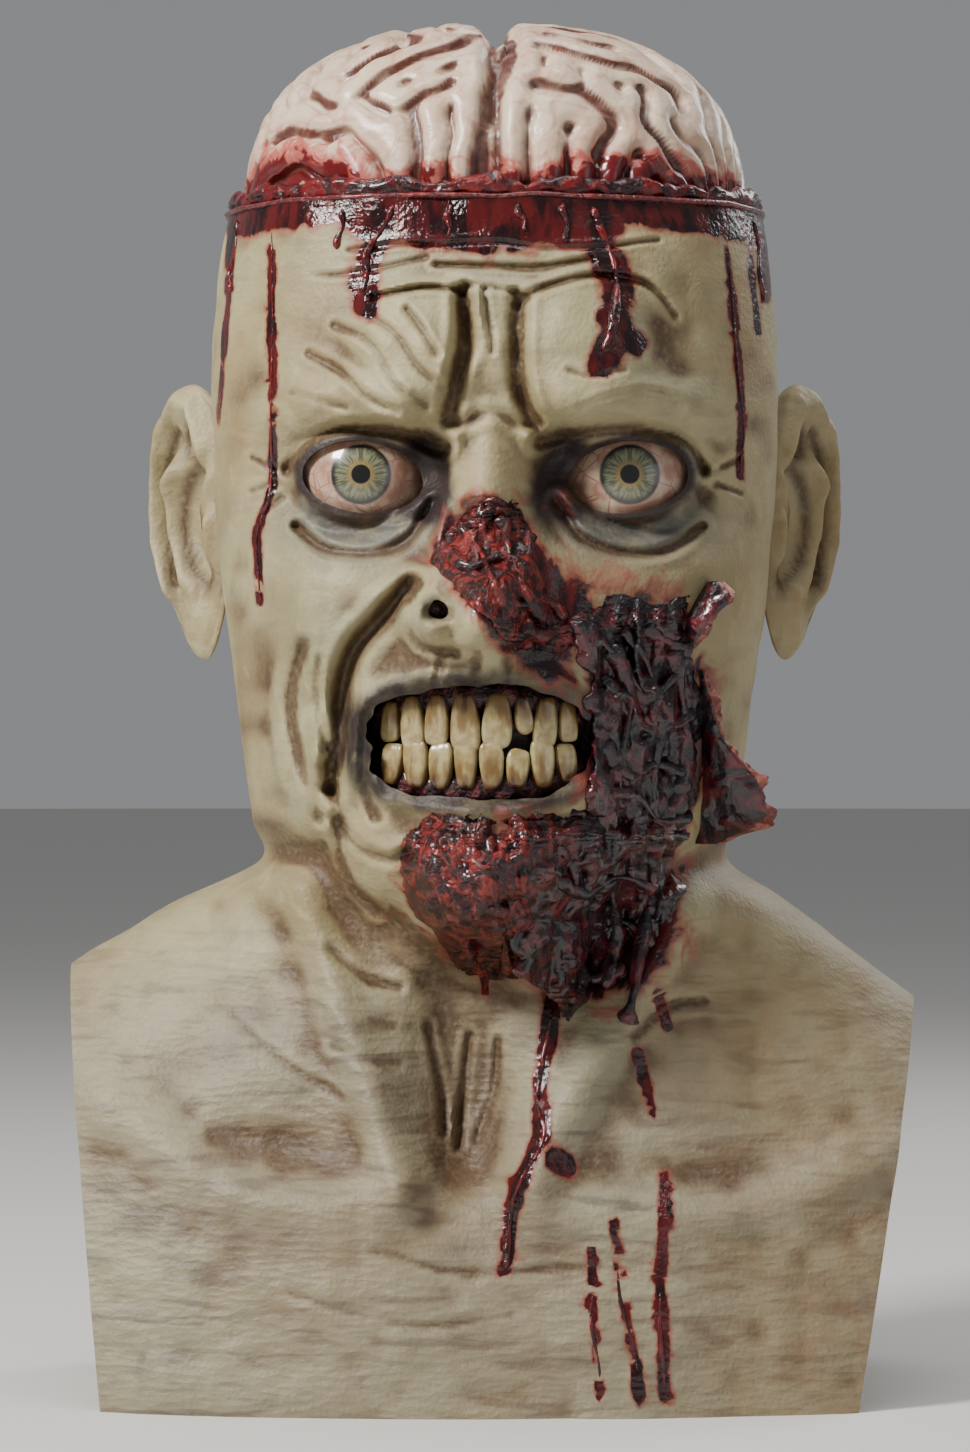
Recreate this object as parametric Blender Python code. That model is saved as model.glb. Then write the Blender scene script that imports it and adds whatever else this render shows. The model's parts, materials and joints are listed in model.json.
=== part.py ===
"""Full-head latex zombie mask: open skull with a bare brain, bared teeth, torn cheek, neck and chest bib.

Metres, +Z up. The face looks along -Y, and the mask stands on the lower edge of its bib at Z = 0,
over the middle of that edge.
"""

import math

import bmesh
import bpy
import numpy as np
from mathutils import Matrix, Vector

# Heights above the lower edge of the bib
MASK_HEIGHT = 0.480
RIM_HEIGHT = 0.412
CHIN_HEIGHT = 0.159
NECK_HEIGHT = 0.184

# Widths are full widths, and fronts and backs are measured from the line through the ears
HEAD_WIDTH = 0.199
HEAD_FRONT = 0.096
HEAD_BACK = 0.126
NECK_WIDTH = 0.166
NECK_FRONT = 0.066
NECK_BACK = 0.079
CHEST_WIDTH = 0.376
CHEST_FRONT = 0.099
CHEST_BACK = 0.098

# Arm holes: where their cut edge crosses the shoulder and the lower edge, from the middle
SHOULDER_HALF = 0.149
BASE_LEFT = 0.134
BASE_RIGHT = 0.123

# Walls and fits
WALL = 0.003
GAP = 0.0003
BRAIN_WALL = 0.003
BRAIN_SEAT = 0.009
BRAIN_LEDGE = 0.0025
RING_HEIGHT = 0.0065

# Eyes
EYE_RADIUS = 0.024
EYE_SPACING = 0.090
EYE_HEIGHT = 0.317
EYE_SET = 0.012
LID = 0.0026
EYE_OPEN_WIDTH = 0.041
EYE_OPEN_HEIGHT = 0.026

# Mouth, gums and teeth
MOUTH_ACROSS = -0.0054
MOUTH_HEIGHT = 0.227
MOUTH_WIDTH = 0.076
MOUTH_OPEN = 0.038
TOOTH_SET = 0.0045
TOOTH_DEPTH = 0.005
GUM_DEPTH = 0.005

# Ears
EAR_HEIGHT = 0.098
EAR_WIDTH = 0.050
EAR_THICKNESS = 0.007
EAR_LEVEL = 0.305
EAR_ANGLE = 52
EAR_LEAN = 8

# Smooth head: how far each section is from neck size (0) to head size (1)
HEAD_SECTIONS = (
    # height, width, front, back, squareness
    (0.00, 0.00, 0.00, 0.00, 2.10),
    (0.07, 0.16, 0.17, 0.12, 2.20),
    (0.16, 0.33, 0.40, 0.31, 2.25),
    (0.25, 0.47, 0.62, 0.52, 2.25),
    (0.33, 0.59, 0.80, 0.71, 2.25),
    (0.47, 0.82, 0.96, 0.90, 2.25),
    (0.60, 0.96, 1.00, 1.00, 2.25),
    (0.73, 1.00, 0.98, 1.00, 2.25),
    (0.86, 0.93, 0.87, 0.86, 2.25),
    (0.95, 0.79, 0.74, 0.70, 2.25),
    (1.00, 0.66, 0.65, 0.60, 2.25),
)

# Neck and chest: how far each section is from chest size (1) to neck size (0)
CHEST_SECTIONS = (
    # height, width, front, back, squareness
    (0.00, 1.00, 1.00, 1.00, 2.50),
    (0.27, 1.00, 0.73, 0.95, 2.35),
    (0.49, 0.99, 0.36, 0.79, 2.00),
    (0.65, 0.89, 0.12, 0.58, 1.75),
    (0.74, 0.71, 0.00, 0.42, 1.65),
    (0.815, 0.53, -0.06, 0.26, 1.60),
    (0.90, 0.305, -0.09, 0.10, 1.70),
    (0.957, 0.13, -0.05, 0.00, 1.92),
)
SHOULDER_DROP = 0.007

# The tables below place things on the face. across is a share of half the head's width, up a share of
# the face from chin to scalp edge, and rise a share of the head's front.
JAW = (
    # up, rise, width
    (-0.075, 0.00, 0.34),
    (-0.020, 0.15, 0.36),
    (0.016, 0.37, 0.41),
    (0.063, 0.47, 0.48),
    (0.160, 0.42, 0.56),
    (0.260, 0.31, 0.60),
    (0.360, 0.21, 0.64),
    (0.460, 0.09, 0.68),
    (0.560, 0.00, 0.70),
)
JAW_LINE_LIFT = 0.36
NOSE = (
    # up, rise, width
    (0.355, 0.00, 0.20),
    (0.380, 0.08, 0.215),
    (0.405, 0.20, 0.215),
    (0.447, 0.27, 0.20),
    (0.498, 0.25, 0.165),
    (0.557, 0.19, 0.135),
    (0.636, 0.09, 0.10),
    (0.690, 0.02, 0.09),
    (0.730, 0.00, 0.09),
)
NOSE_ACROSS = -0.035

# Rounded swellings and hollows. A higher edge gives a flatter top with a steeper side.
SWELLINGS = (
    # across, up, width, height, rise, edge
    (-0.452, 0.615, 0.29, 0.088, -0.150, 1.6),
    (0.452, 0.615, 0.29, 0.088, -0.150, 1.6),
    (-0.300, 0.780, 0.19, 0.095, 0.075, 2.0),
    (0.300, 0.785, 0.22, 0.105, 0.085, 2.2),
    (-0.500, 0.715, 0.28, 0.040, 0.085, 1.4),
    (0.520, 0.715, 0.28, 0.040, 0.085, 1.4),
    (-0.215, 0.650, 0.070, 0.050, -0.060, 1.4),
    (0.195, 0.650, 0.070, 0.050, -0.060, 1.4),
    (-0.640, 0.470, 0.22, 0.070, 0.055, 1.2),
    (0.640, 0.490, 0.22, 0.060, 0.055, 1.2),
    (-0.030, 0.535, 0.135, 0.050, -0.110, 2.4),
    (-0.235, 0.430, 0.080, 0.036, 0.075, 1.6),
    (0.150, 0.430, 0.110, 0.060, -0.080, 1.6),
    (-0.100, 0.075, 0.260, 0.070, 0.040, 1.5),
    (0.510, 0.280, 0.190, 0.165, -0.080, 3.0),
    (0.300, 0.060, 0.240, 0.100, -0.050, 2.0),
    (-0.100, -0.150, 0.190, 0.170, -0.110, 1.6),
    (-0.100, -0.270, 0.120, 0.060, -0.060, 1.3),
)

# Long ridges (positive rise) and creases (negative rise), each a chain of (across, up) points
FOLDS = (
    # width, rise, points
    (0.030, -0.060, ((-0.115, 0.870), (-0.105, 0.780), (-0.120, 0.690))),
    (0.030, -0.060, ((0.085, 0.860), (0.070, 0.780), (0.095, 0.685))),
    (0.060, 0.030, ((-0.020, 0.865), (-0.015, 0.700))),
    (0.028, -0.035, ((-0.320, 0.880), (-0.115, 0.878), (0.070, 0.870))),
    (0.035, -0.040, ((-0.110, 0.683), (0.080, 0.683))),
    (0.060, -0.075, ((-0.290, 0.470), (-0.440, 0.385), (-0.520, 0.280), (-0.520, 0.190))),
    (0.070, 0.045, ((-0.600, 0.410), (-0.660, 0.300), (-0.640, 0.180))),
    (0.085, 0.045, ((-0.450, 0.550), (-0.320, 0.560), (-0.640, 0.570))),
    (0.085, 0.045, ((0.450, 0.550), (0.320, 0.560), (0.640, 0.570))),
    (0.100, 0.055, ((-0.680, 0.060), (-0.480, -0.150), (-0.330, -0.320))),
    (0.100, 0.055, ((0.640, 0.040), (0.350, -0.150), (0.130, -0.310))),
    (0.120, 0.045, ((-0.350, -0.350), (-0.800, -0.330), (-1.350, -0.230))),
    (0.120, 0.045, ((0.170, -0.350), (0.700, -0.330), (1.350, -0.250))),
)
LIP_RISE = 0.042
LIP_SPREAD = 0.16

# Torn pieces: outline rows from the bottom up
NOSE_FLESH = (
    # up, left edge, right edge
    (0.395, 0.06, 0.28),
    (0.430, -0.01, 0.25),
    (0.470, -0.10, 0.18),
    (0.500, -0.18, 0.13),
    (0.545, -0.15, 0.11),
    (0.585, -0.03, 0.07),
)
CHEEK_FLESH = (
    # up, left edge, right edge
    (0.155, 0.43, 0.60),
    (0.230, 0.38, 0.65),
    (0.330, 0.375, 0.655),
    (0.395, 0.33, 0.59),
    (0.430, 0.30, 0.50),
)
CHIN_FLESH = (
    # up, left edge, right edge
    (-0.035, -0.03, 0.13),
    (0.000, -0.15, 0.15),
    (0.040, -0.24, 0.16),
    (0.090, -0.27, 0.17),
    (0.130, -0.26, 0.18),
    (0.160, -0.18, 0.19),
)
JAW_FLESH = (
    # up, left edge, right edge
    (-0.105, 0.27, 0.42),
    (-0.060, 0.20, 0.50),
    (0.000, 0.18, 0.56),
    (0.060, 0.19, 0.58),
    (0.110, 0.20, 0.575),
    (0.138, 0.24, 0.55),
)
JAW_HANG = 0.030
NO_HANG = -1.0
CHEEK_FLAP = (
    # up, root across, reach out, lift
    (0.130, 0.69, 0.10, 0.030),
    (0.165, 0.70, 0.24, 0.060),
    (0.215, 0.71, 0.21, 0.080),
    (0.270, 0.71, 0.10, 0.060),
    (0.330, 0.71, 0.05, 0.035),
    (0.365, 0.70, 0.03, 0.020),
)
TEAR_TIP = (
    # up, root across, reach out, lift
    (0.395, 0.64, 0.05, 0.040),
    (0.430, 0.65, 0.10, 0.060),
    (0.465, 0.69, 0.13, 0.075),
    (0.485, 0.73, 0.05, 0.070),
)
FLESH_LIFT = 0.0032
NOSE_LIFT = 0.0018
FLAP_THICKNESS = 0.0016
FLAP_ROOT = 0.004

# Sulci of the brain: chains of (right, front) on its dome, in degrees away from the top
SULCI = (
    ((-12, 8), (-22, 18), (-20, 30), (-34, 36)),
    ((-6, 30), (-18, 42), (-34, 50), (-30, 62)),
    ((-10, 60), (-24, 66), (-22, 78)),
    ((-40, 14), (-48, 30), (-44, 46)),
    ((-48, 58), (-56, 44), (-66, 36)),
    ((-26, -8), (-44, -6), (-62, 6)),
    ((8, 18), (24, 16), (40, 24)),
    ((8, 38), (26, 40), (38, 34), (50, 38)),
    ((8, 58), (22, 56), (34, 62), (30, 76)),
    ((40, 44), (46, 58), (58, 62)),
    ((54, 20), (62, 34), (74, 40)),
    ((24, -6), (42, -4), (58, 8)),
)
SKIN_FACES = 3200
HOLLOW_FACES = 1350
BRAIN_FACES = 1100
EAR_FACES = 380
BRAIN_SPARE = 0.0015
SEAM_STEP = 0.0005
DOME_POWER = 0.8
FISSURE_DEPTH = 0.0055
FISSURE_WIDTH = 0.0036
SULCUS_DEPTH = 0.0026
SULCUS_WIDTH = 2.6

HALF = HEAD_WIDTH / 2
FACE = RIM_HEIGHT - CHIN_HEIGHT
HEAD_ZONE = RIM_HEIGHT - NECK_HEIGHT
OVERRUN = 0.020
SEAM = 1e-6
FRONT = -1


def smooth_step(low, high, value):
    """0 at low, 1 at high, with a smooth rise between."""
    t = np.clip((value - low) / (high - low), 0, 1)
    return t * t * (3 - 2 * t)


def smooth_through(knots, values, at):
    """Value at a point of the smooth curve through a table's rows, level beyond its ends."""
    knots = np.asarray(knots, float)
    values = np.asarray(values, float)
    slopes = np.gradient(values, knots)
    at = np.clip(at, knots[0], knots[-1])
    i = np.clip(np.searchsorted(knots, at) - 1, 0, len(knots) - 2)
    step = knots[i + 1] - knots[i]
    t = (at - knots[i]) / step
    rise = (3 - 2 * t) * t * t
    bow = step * t * (1 - t) * ((1 - t) * slopes[i] - t * slopes[i + 1])
    return values[i] + (values[i + 1] - values[i]) * rise + bow


def sections():
    """Heights with the half width, front, back and squareness of the smooth form, from its two tables."""
    rows = []
    for height, width, front, back, squareness in CHEST_SECTIONS:
        rows.append(
            (
                height * NECK_HEIGHT,
                (NECK_WIDTH + width * (CHEST_WIDTH - NECK_WIDTH)) / 2,
                NECK_FRONT + front * (CHEST_FRONT - NECK_FRONT),
                NECK_BACK + back * (CHEST_BACK - NECK_BACK),
                squareness,
            )
        )
    for height, width, front, back, squareness in HEAD_SECTIONS:
        rows.append(
            (
                NECK_HEIGHT + height * HEAD_ZONE,
                (NECK_WIDTH + width * (HEAD_WIDTH - NECK_WIDTH)) / 2,
                NECK_FRONT + front * (HEAD_FRONT - NECK_FRONT),
                NECK_BACK + back * (HEAD_BACK - NECK_BACK),
                squareness,
            )
        )
    return np.array(rows).T


SECTION_HEIGHTS, HALF_WIDTHS, FRONTS, BACKS, SQUARENESSES = sections()


def form_at(z):
    """Half width, front and back of the smooth form at height z."""
    return tuple(smooth_through(SECTION_HEIGHTS, sizes, z) for sizes in (HALF_WIDTHS, FRONTS, BACKS))


def squareness_at(z):
    return smooth_through(SECTION_HEIGHTS, SQUARENESSES, z)


def hollow_at(z, inset):
    """Half width, front and back of the smooth form moved in by inset, square to its surface."""
    least = None
    for angle in np.radians((-80, -50, -20, 0, 20, 50, 80)):
        moved = [size - inset * np.cos(angle) for size in form_at(z + inset * np.sin(angle))]
        least = moved if least is None else [np.minimum(a, b) for a, b in zip(least, moved)]
    return least


def shoulder_drop(x, z):
    """How much lower the wearer's left shoulder hangs at (x, z); negative on the other side."""
    share = smooth_step(NECK_HEIGHT + 0.1 * FACE, NECK_HEIGHT - 0.2 * FACE, z)
    return SHOULDER_DROP * x / SHOULDER_HALF * share


def along_chain(across, up, points):
    """Distance on the face, in shares of half the head's width, from a chain of points."""
    scale = FACE / HALF
    nearest = np.full(np.shape(across), 9.0)
    for (x0, z0), (x1, z1) in zip(points, points[1:]):
        dx = x1 - x0
        dz = (z1 - z0) * scale
        px = across - x0
        pz = (up - z0) * scale
        t = np.clip((px * dx + pz * dz) / (dx * dx + dz * dz), 0, 1)
        nearest = np.minimum(nearest, np.hypot(px - t * dx, pz - t * dz))
    return nearest


def mouth_span(across, up):
    """0 at the middle of the mouth, 1 at its edge."""
    dx = (across * HALF - MOUTH_ACROSS) / (MOUTH_WIDTH / 2)
    dz = (CHIN_HEIGHT + up * FACE - MOUTH_HEIGHT) / (MOUTH_OPEN / 2)
    return (np.abs(dx) ** 2.6 + np.abs(dz) ** 2.6) ** (1 / 2.6)


def jaw_rise(across, up):
    """How far the jaw stands out from the smooth form, as a share of the head's front."""
    ups, rises, widths = np.array(JAW).T
    level = up - JAW_LINE_LIFT * across**2 * smooth_step(0.30, 0.0, up)
    rise = smooth_through(ups, rises, level)
    width = smooth_through(ups, widths, level)
    return rise * np.exp(-((across / width) ** 2))


def relief(x, z):
    """How far the face stands out from the smooth form, in metres."""
    across = x / HALF
    up = (z - CHIN_HEIGHT) / FACE
    total = jaw_rise(across, up)
    ups, rises, widths = np.array(NOSE).T
    nose_width = smooth_through(ups, widths, up)
    total = total + smooth_through(ups, rises, up) * np.exp(-(((across - NOSE_ACROSS) / nose_width) ** 2))
    for c_across, c_up, width, height, rise, edge in SWELLINGS:
        reach = ((across - c_across) / width) ** 2 + ((up - c_up) / height) ** 2
        total = total + rise * np.exp(-(reach**edge))
    for width, rise, points in FOLDS:
        total = total + rise * np.exp(-((along_chain(across, up, points) / width) ** 2))
    lip = (mouth_span(across, up) - 1 - LIP_SPREAD) / LIP_SPREAD
    total = total + LIP_RISE * np.exp(-(lip**2))
    return total * HEAD_FRONT


def eye_centres():
    """Centres of the viewer's left and right eyeball."""
    depth = -(HEAD_FRONT - EYE_SET) + EYE_RADIUS
    return [Vector((side * EYE_SPACING / 2, depth, EYE_HEIGHT)) for side in (-1, 1)]


def nearer(a, b, blend):
    """Smooth minimum: whichever surface is further forward, with a soft join."""
    h = np.clip(0.5 + (b - a) / (2 * blend), 0, 1)
    return b + (a - b) * h - blend * h * (1 - h)


def face_y(x, z, smooth_y):
    """Y of the sculpted face where the smooth form is at smooth_y."""
    y = smooth_y - relief(x, z)
    for centre in eye_centres():
        off = np.hypot(x - centre.x, z - centre.z)
        radius = EYE_RADIUS + LID
        dome = centre.y - np.sqrt(np.maximum(radius**2 - off**2, 0))
        lidded = nearer(y, dome, 0.0025)
        y = y + (lidded - y) * smooth_step(radius, radius * 0.85, off)
    return y


def smooth_front(x, z):
    """Y of the smooth form's front at (x, z)."""
    level = z + shoulder_drop(x, z)
    half, front, _ = form_at(level)
    squareness = squareness_at(level)
    inside = np.maximum(1 - np.abs(x / half) ** squareness, 0)
    return -front * inside ** (1 / squareness)


def skin_y(x, z):
    """Y of the skin's front at (x, z)."""
    return face_y(x, z, smooth_front(x, z))


def muzzle_y(x, z):
    """Y of the plain muzzle under lips and folds at (x, z)."""
    return smooth_front(x, z) - jaw_rise(x / HALF, (z - CHIN_HEIGHT) / FACE) * HEAD_FRONT


def superellipse(turn, half, front, back, squareness):
    """Point of a section at an angle from straight ahead, with its weight towards the front."""
    c, s = np.cos(turn), np.sin(turn)
    power = 2 / squareness
    x = np.sign(s) * np.abs(s) ** power * half
    y = -np.sign(c) * np.abs(c) ** power * np.where(c > 0, front, back)
    return x, y, smooth_step(0.0, 0.35, c)


def column_turn(share, crowding):
    """Angle of a column: a crowding over 0 packs the columns towards the front."""
    turn = 2 * math.pi * share
    return turn + crowding * np.sin(turn) - math.pi


def outer_point(turn, z):
    x, y, weight = superellipse(turn, *form_at(z), squareness_at(z))
    return x, y + (face_y(x, z, y) - y) * weight, z - shoulder_drop(x, z)


def cavity_point(turn, z):
    """Point of the hollow: the smooth form less the wall, filled in behind the nose, lips and tears."""
    z_form = np.minimum(z, RIM_HEIGHT)
    squareness = squareness_at(z_form)
    x, y, weight = superellipse(turn, *hollow_at(z_form, WALL), squareness)
    xo, yo, _ = superellipse(turn, *form_at(z_form), squareness)
    reach = 0.008
    least = None
    for step_x in (-reach, -reach / 2, 0, reach / 2, reach):
        for step_z in (-reach, -reach / 2, 0, reach / 2, reach):
            xs, zs = xo + step_x, z_form + step_z
            out = yo - face_y(xs, zs, yo)
            in_mouth = mouth_span(xs / HALF, (zs - CHIN_HEIGHT) / FACE) < 1.1
            floor = yo - muzzle_y(xs, MOUTH_HEIGHT + 0 * xs) - mouth_floor()
            out = np.where(in_mouth, np.minimum(out, floor), out)
            least = out if least is None else np.minimum(least, out)
    return x, y - least * weight, z - shoulder_drop(x, z)


def finish(bm, name, hidden=False):
    """Makes the bmesh an object with its faces pointing out."""
    bmesh.ops.recalc_face_normals(bm, faces=bm.faces)
    mesh = bpy.data.meshes.new(name)
    bm.to_mesh(mesh)
    bm.free()
    piece = bpy.data.objects.new(name, mesh)
    bpy.context.scene.collection.objects.link(piece)
    if hidden:
        piece.hide_render = True
        piece.display_type = "WIRE"
    return piece


def warped_grid(columns, rows, place):
    """A grid whose columns and rows, as shares 0 to 1, are moved to place(column, row)."""
    bm = bmesh.new()
    bmesh.ops.create_grid(bm, x_segments=columns, y_segments=rows, size=1.0)
    spots = np.array([vert.co for vert in bm.verts])
    x, y, z = np.broadcast_arrays(*place((spots[:, 0] + 1) / 2, (spots[:, 1] + 1) / 2))
    for vert, point in zip(bm.verts, zip(x, y, z)):
        vert.co = point
    bmesh.ops.remove_doubles(bm, verts=bm.verts, dist=SEAM)
    return bm


def close_ends(bm):
    """Caps every open end with a fan of triangles."""
    caps = bmesh.ops.holes_fill(bm, edges=[edge for edge in bm.edges if edge.is_boundary])["faces"]
    bmesh.ops.poke(bm, faces=caps)


def decimate(piece, faces):
    """Thins the mesh to about so many triangles, keeping them where the surface turns."""
    made = sum(len(face.vertices) - 2 for face in piece.data.polygons)
    modifier = piece.modifiers.new("thin", "DECIMATE")
    modifier.ratio = min(1.0, faces / made)
    modifier.use_collapse_triangulate = True


def boolean(piece, other, operation="DIFFERENCE"):
    modifier = piece.modifiers.new(other.name, "BOOLEAN")
    modifier.object = other
    modifier.operation = operation
    modifier.solver = "EXACT"


def swell(piece, amount):
    modifier = piece.modifiers.new("clearance", "DISPLACE")
    modifier.strength = amount
    modifier.mid_level = 0


def box(name, low, high):
    """Hidden cutter with corners low and high."""
    bm = bmesh.new()
    bmesh.ops.create_cube(bm, size=1.0)
    size = Vector(high) - Vector(low)
    middle = (Vector(high) + Vector(low)) / 2
    bmesh.ops.scale(bm, vec=size, verts=bm.verts)
    bmesh.ops.translate(bm, vec=middle, verts=bm.verts)
    return finish(bm, name, hidden=True)


def head_form(name, columns, row_count, hidden):
    """Closed sculpted head, neck and chest, running past the scalp edge and the lower edge."""
    low, high = -OVERRUN, RIM_HEIGHT + OVERRUN
    stops = (0.0, 0.20, 0.84, 1.0)
    heights = (low, CHIN_HEIGHT - 0.1 * FACE, RIM_HEIGHT - 0.12 * FACE, high)

    def place(column, row):
        return outer_point(column_turn(column, 0.55), np.interp(row, stops, heights))

    bm = warped_grid(columns, row_count, place)
    close_ends(bm)
    return finish(bm, name, hidden)


def cavity(name):
    """Closed hollow of the mask, straight above the scalp edge."""
    low, high = -2 * OVERRUN, MASK_HEIGHT + OVERRUN
    stops = (0.0, 0.04, 0.16, 0.42, 0.88, 0.94, 1.0)
    heights = (low, 0.0, 0.5 * NECK_HEIGHT, 1.05 * NECK_HEIGHT, RIM_HEIGHT - 0.1 * FACE, RIM_HEIGHT, high)

    def place(column, row):
        return cavity_point(column_turn(column, 0.35), np.interp(row, stops, heights))

    bm = warped_grid(72, 66, place)
    close_ends(bm)
    piece = finish(bm, name, hidden=True)
    decimate(piece, HOLLOW_FACES)
    return piece


def arm_hole(name, side, base_half):
    """Cutter for one arm hole: everything outside the slanting cut edge."""
    far = CHEST_WIDTH
    cutter = box(name, (0, -far, -far), (far, far, far))
    lean = math.atan2(SHOULDER_HALF - base_half, NECK_HEIGHT * 0.79)
    turn = Matrix.Rotation(lean, 4, "Y") if side > 0 else Matrix.Rotation(math.pi - lean, 4, "Z")
    if side < 0:
        turn = Matrix.Rotation(-lean, 4, "Y") @ Matrix.Rotation(math.pi, 4, "Z")
    cutter.data.transform(Matrix.Translation((side * base_half, 0, 0)) @ turn)
    top = NECK_HEIGHT
    bm = bmesh.new()
    bm.from_mesh(cutter.data)
    bmesh.ops.bisect_plane(
        bm, geom=bm.verts[:] + bm.edges[:] + bm.faces[:], plane_co=(0, 0, top), plane_no=(0, 0, 1), clear_outer=True
    )
    close_ends(bm)
    bm.to_mesh(cutter.data)
    bm.free()
    return cutter


def ear(name, side):
    """Closed ear: a leaf-shaped dish with a rolled rim, an inner ridge, a bowl and a lobe."""
    bm = bmesh.new()
    bmesh.ops.create_uvsphere(bm, u_segments=28, v_segments=16, radius=1.0)
    for vert in bm.verts:
        out, thick, height = vert.co
        radial = math.hypot(out, height)
        narrow = 1.0 - 0.32 * smooth_step(0.1, -1.0, height)
        dish = 0.55 * math.exp(-(((radial - 0.88) / 0.14) ** 2)) - 0.75 * math.exp(-((radial / 0.55) ** 4))
        lobe = smooth_step(-0.35, -0.75, height)
        dish = dish * (1 - lobe) + 0.15 * lobe
        front = thick < 0
        lift = (dish if front else 0.4 * dish) * EAR_THICKNESS
        vert.co = (
            out * narrow * EAR_WIDTH / 2,
            thick * EAR_THICKNESS / 2 - lift,
            height * EAR_HEIGHT / 2 - 0.10 * EAR_WIDTH * out * narrow,
        )
    root = Vector((side * (HALF - 0.13 * EAR_WIDTH), 0, EAR_LEVEL))
    turn = Matrix.Rotation(side * math.radians(EAR_ANGLE), 4, "Z")
    lean = Matrix.Rotation(side * math.radians(EAR_LEAN), 4, "Y")
    flip = Matrix.Scale(side, 4, (1, 0, 0))
    out = Matrix.Translation((side * EAR_WIDTH * 0.42, 0, 0))
    bmesh.ops.transform(bm, matrix=Matrix.Translation(root) @ turn @ out @ lean @ flip, verts=bm.verts)
    return finish(bm, name, hidden=True)


def ball(name, centre, radius, hidden):
    """Sphere with its pole looking forward."""
    bm = bmesh.new()
    bmesh.ops.create_uvsphere(bm, u_segments=16, v_segments=12, radius=radius)
    bmesh.ops.rotate(bm, matrix=Matrix.Rotation(math.pi / 2, 3, "X"), verts=bm.verts)
    bmesh.ops.translate(bm, vec=centre, verts=bm.verts)
    return finish(bm, name, hidden)


def eye(name, centre):
    """Front dome of an eyeball, flat at the back."""
    piece = ball(name, centre, EYE_RADIUS, hidden=False)
    bm = bmesh.new()
    bm.from_mesh(piece.data)
    back = centre + Vector((0, -0.12 * EYE_RADIUS, 0))
    everything = bm.verts[:] + bm.edges[:] + bm.faces[:]
    bmesh.ops.bisect_plane(bm, geom=everything, plane_co=back, plane_no=(0, 1, 0), clear_outer=True)
    close_ends(bm)
    bm.to_mesh(piece.data)
    bm.free()
    return piece


def eye_opening(name, centre):
    """Cutter for the gap between the lids."""
    bm = bmesh.new()
    bmesh.ops.create_cone(bm, cap_ends=True, segments=24, radius1=0.5, radius2=0.5, depth=1.0)
    bmesh.ops.rotate(bm, matrix=Matrix.Rotation(math.pi / 2, 3, "X"), verts=bm.verts)
    bmesh.ops.scale(bm, vec=(EYE_OPEN_WIDTH, 2 * EYE_RADIUS, EYE_OPEN_HEIGHT), verts=bm.verts)
    bmesh.ops.translate(bm, vec=centre + Vector((0, FRONT * 1.2 * EYE_RADIUS, 0)), verts=bm.verts)
    return finish(bm, name, hidden=True)


def mouth_floor():
    """Depth of the mouth's floor behind the muzzle."""
    return TOOTH_SET + TOOTH_DEPTH + GUM_DEPTH + 3 * GAP


def arch_point(share, set_back):
    """X and Y on the dental arch at a share of its half width, set back from the muzzle."""
    x = MOUTH_ACROSS + share * MOUTH_WIDTH / 2
    return x, float(muzzle_y(np.array(x), np.array(MOUTH_HEIGHT))) + set_back


def arch_bar(name, stations, rows, hidden=False):
    """Bar along the dental arch. rows(share) gives its lower and upper height and its front and back set-back."""
    bm = bmesh.new()
    bmesh.ops.create_cube(bm, size=2.0)
    long_edges = [e for e in bm.edges if abs(e.verts[0].co.x - e.verts[1].co.x) > 1]
    bmesh.ops.subdivide_edges(bm, edges=long_edges, cuts=stations - 1, use_grid_fill=True)
    for vert in bm.verts:
        share, depth, level = vert.co
        low, high, front, back = rows(share)
        x, y = arch_point(share, front if depth < 0 else back)
        vert.co = (x, y, low if level < 0 else high)
    return finish(bm, name, hidden)


MOUTH_STATIONS = 18


def mouth_cutter():
    def rows(share):
        open_half = MOUTH_OPEN / 2 * max(1 - abs(share * 0.97) ** 2.6, 0) ** (1 / 2.6)
        return MOUTH_HEIGHT - open_half, MOUTH_HEIGHT + open_half, -HEAD_FRONT / 2, mouth_floor()

    return arch_bar("mouth_opening", MOUTH_STATIONS, rows, hidden=True)


TOOTH_ROWS = (
    # name, level of the biting edge, level of the root, widths from the viewer's left
    ("upper_tooth", 0.00, 0.80, (0.20, 0.25, 0.26, 0.33, 0.34, 0.20, 0.26, 0.20)),
    ("lower_tooth", -0.03, -0.78, (0.22, 0.25, 0.25, 0.25, 0.27, 0.25, 0.25, 0.22)),
)
GUM_SPAN = 0.88
GUM_HEIGHT = 0.42
TOOTH_GAP = 0.0007


def gum(name, root):
    """Gum bar behind one row of teeth, on the floor of the mouth."""
    front = TOOTH_SET + TOOTH_DEPTH + GAP * 2
    back = front + GUM_DEPTH
    half = MOUTH_OPEN / 2

    def rows(share):
        share = share * GUM_SPAN
        fit = max(1 - abs(share * 0.97) ** 2.6, 0) ** (1 / 2.6) - 0.05
        edge = math.copysign(min(abs(root) + 0.02, fit), root)
        near = edge - math.copysign(GUM_HEIGHT, root)
        low, high = sorted((edge, near))
        return MOUTH_HEIGHT + low * half, MOUTH_HEIGHT + high * half, front, back

    bm = bmesh.new()
    bmesh.ops.create_cube(bm, size=2.0)
    long_edges = [e for e in bm.edges if abs(e.verts[0].co.x - e.verts[1].co.x) > 1]
    cuts = MOUTH_STATIONS - 1
    bmesh.ops.subdivide_edges(bm, edges=long_edges, cuts=cuts, use_grid_fill=True)
    inner = [v for v in bm.verts if abs(v.co.x) > GUM_SPAN]
    bmesh.ops.delete(bm, geom=inner, context="VERTS")
    close_ends(bm)
    for vert in bm.verts:
        share, depth, level = vert.co
        low, high, near, far = rows(share / GUM_SPAN)
        x, y = arch_point(share, near if depth < 0 else far)
        vert.co = (x, y, low if level < 0 else high)
    return finish(bm, name)


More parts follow.
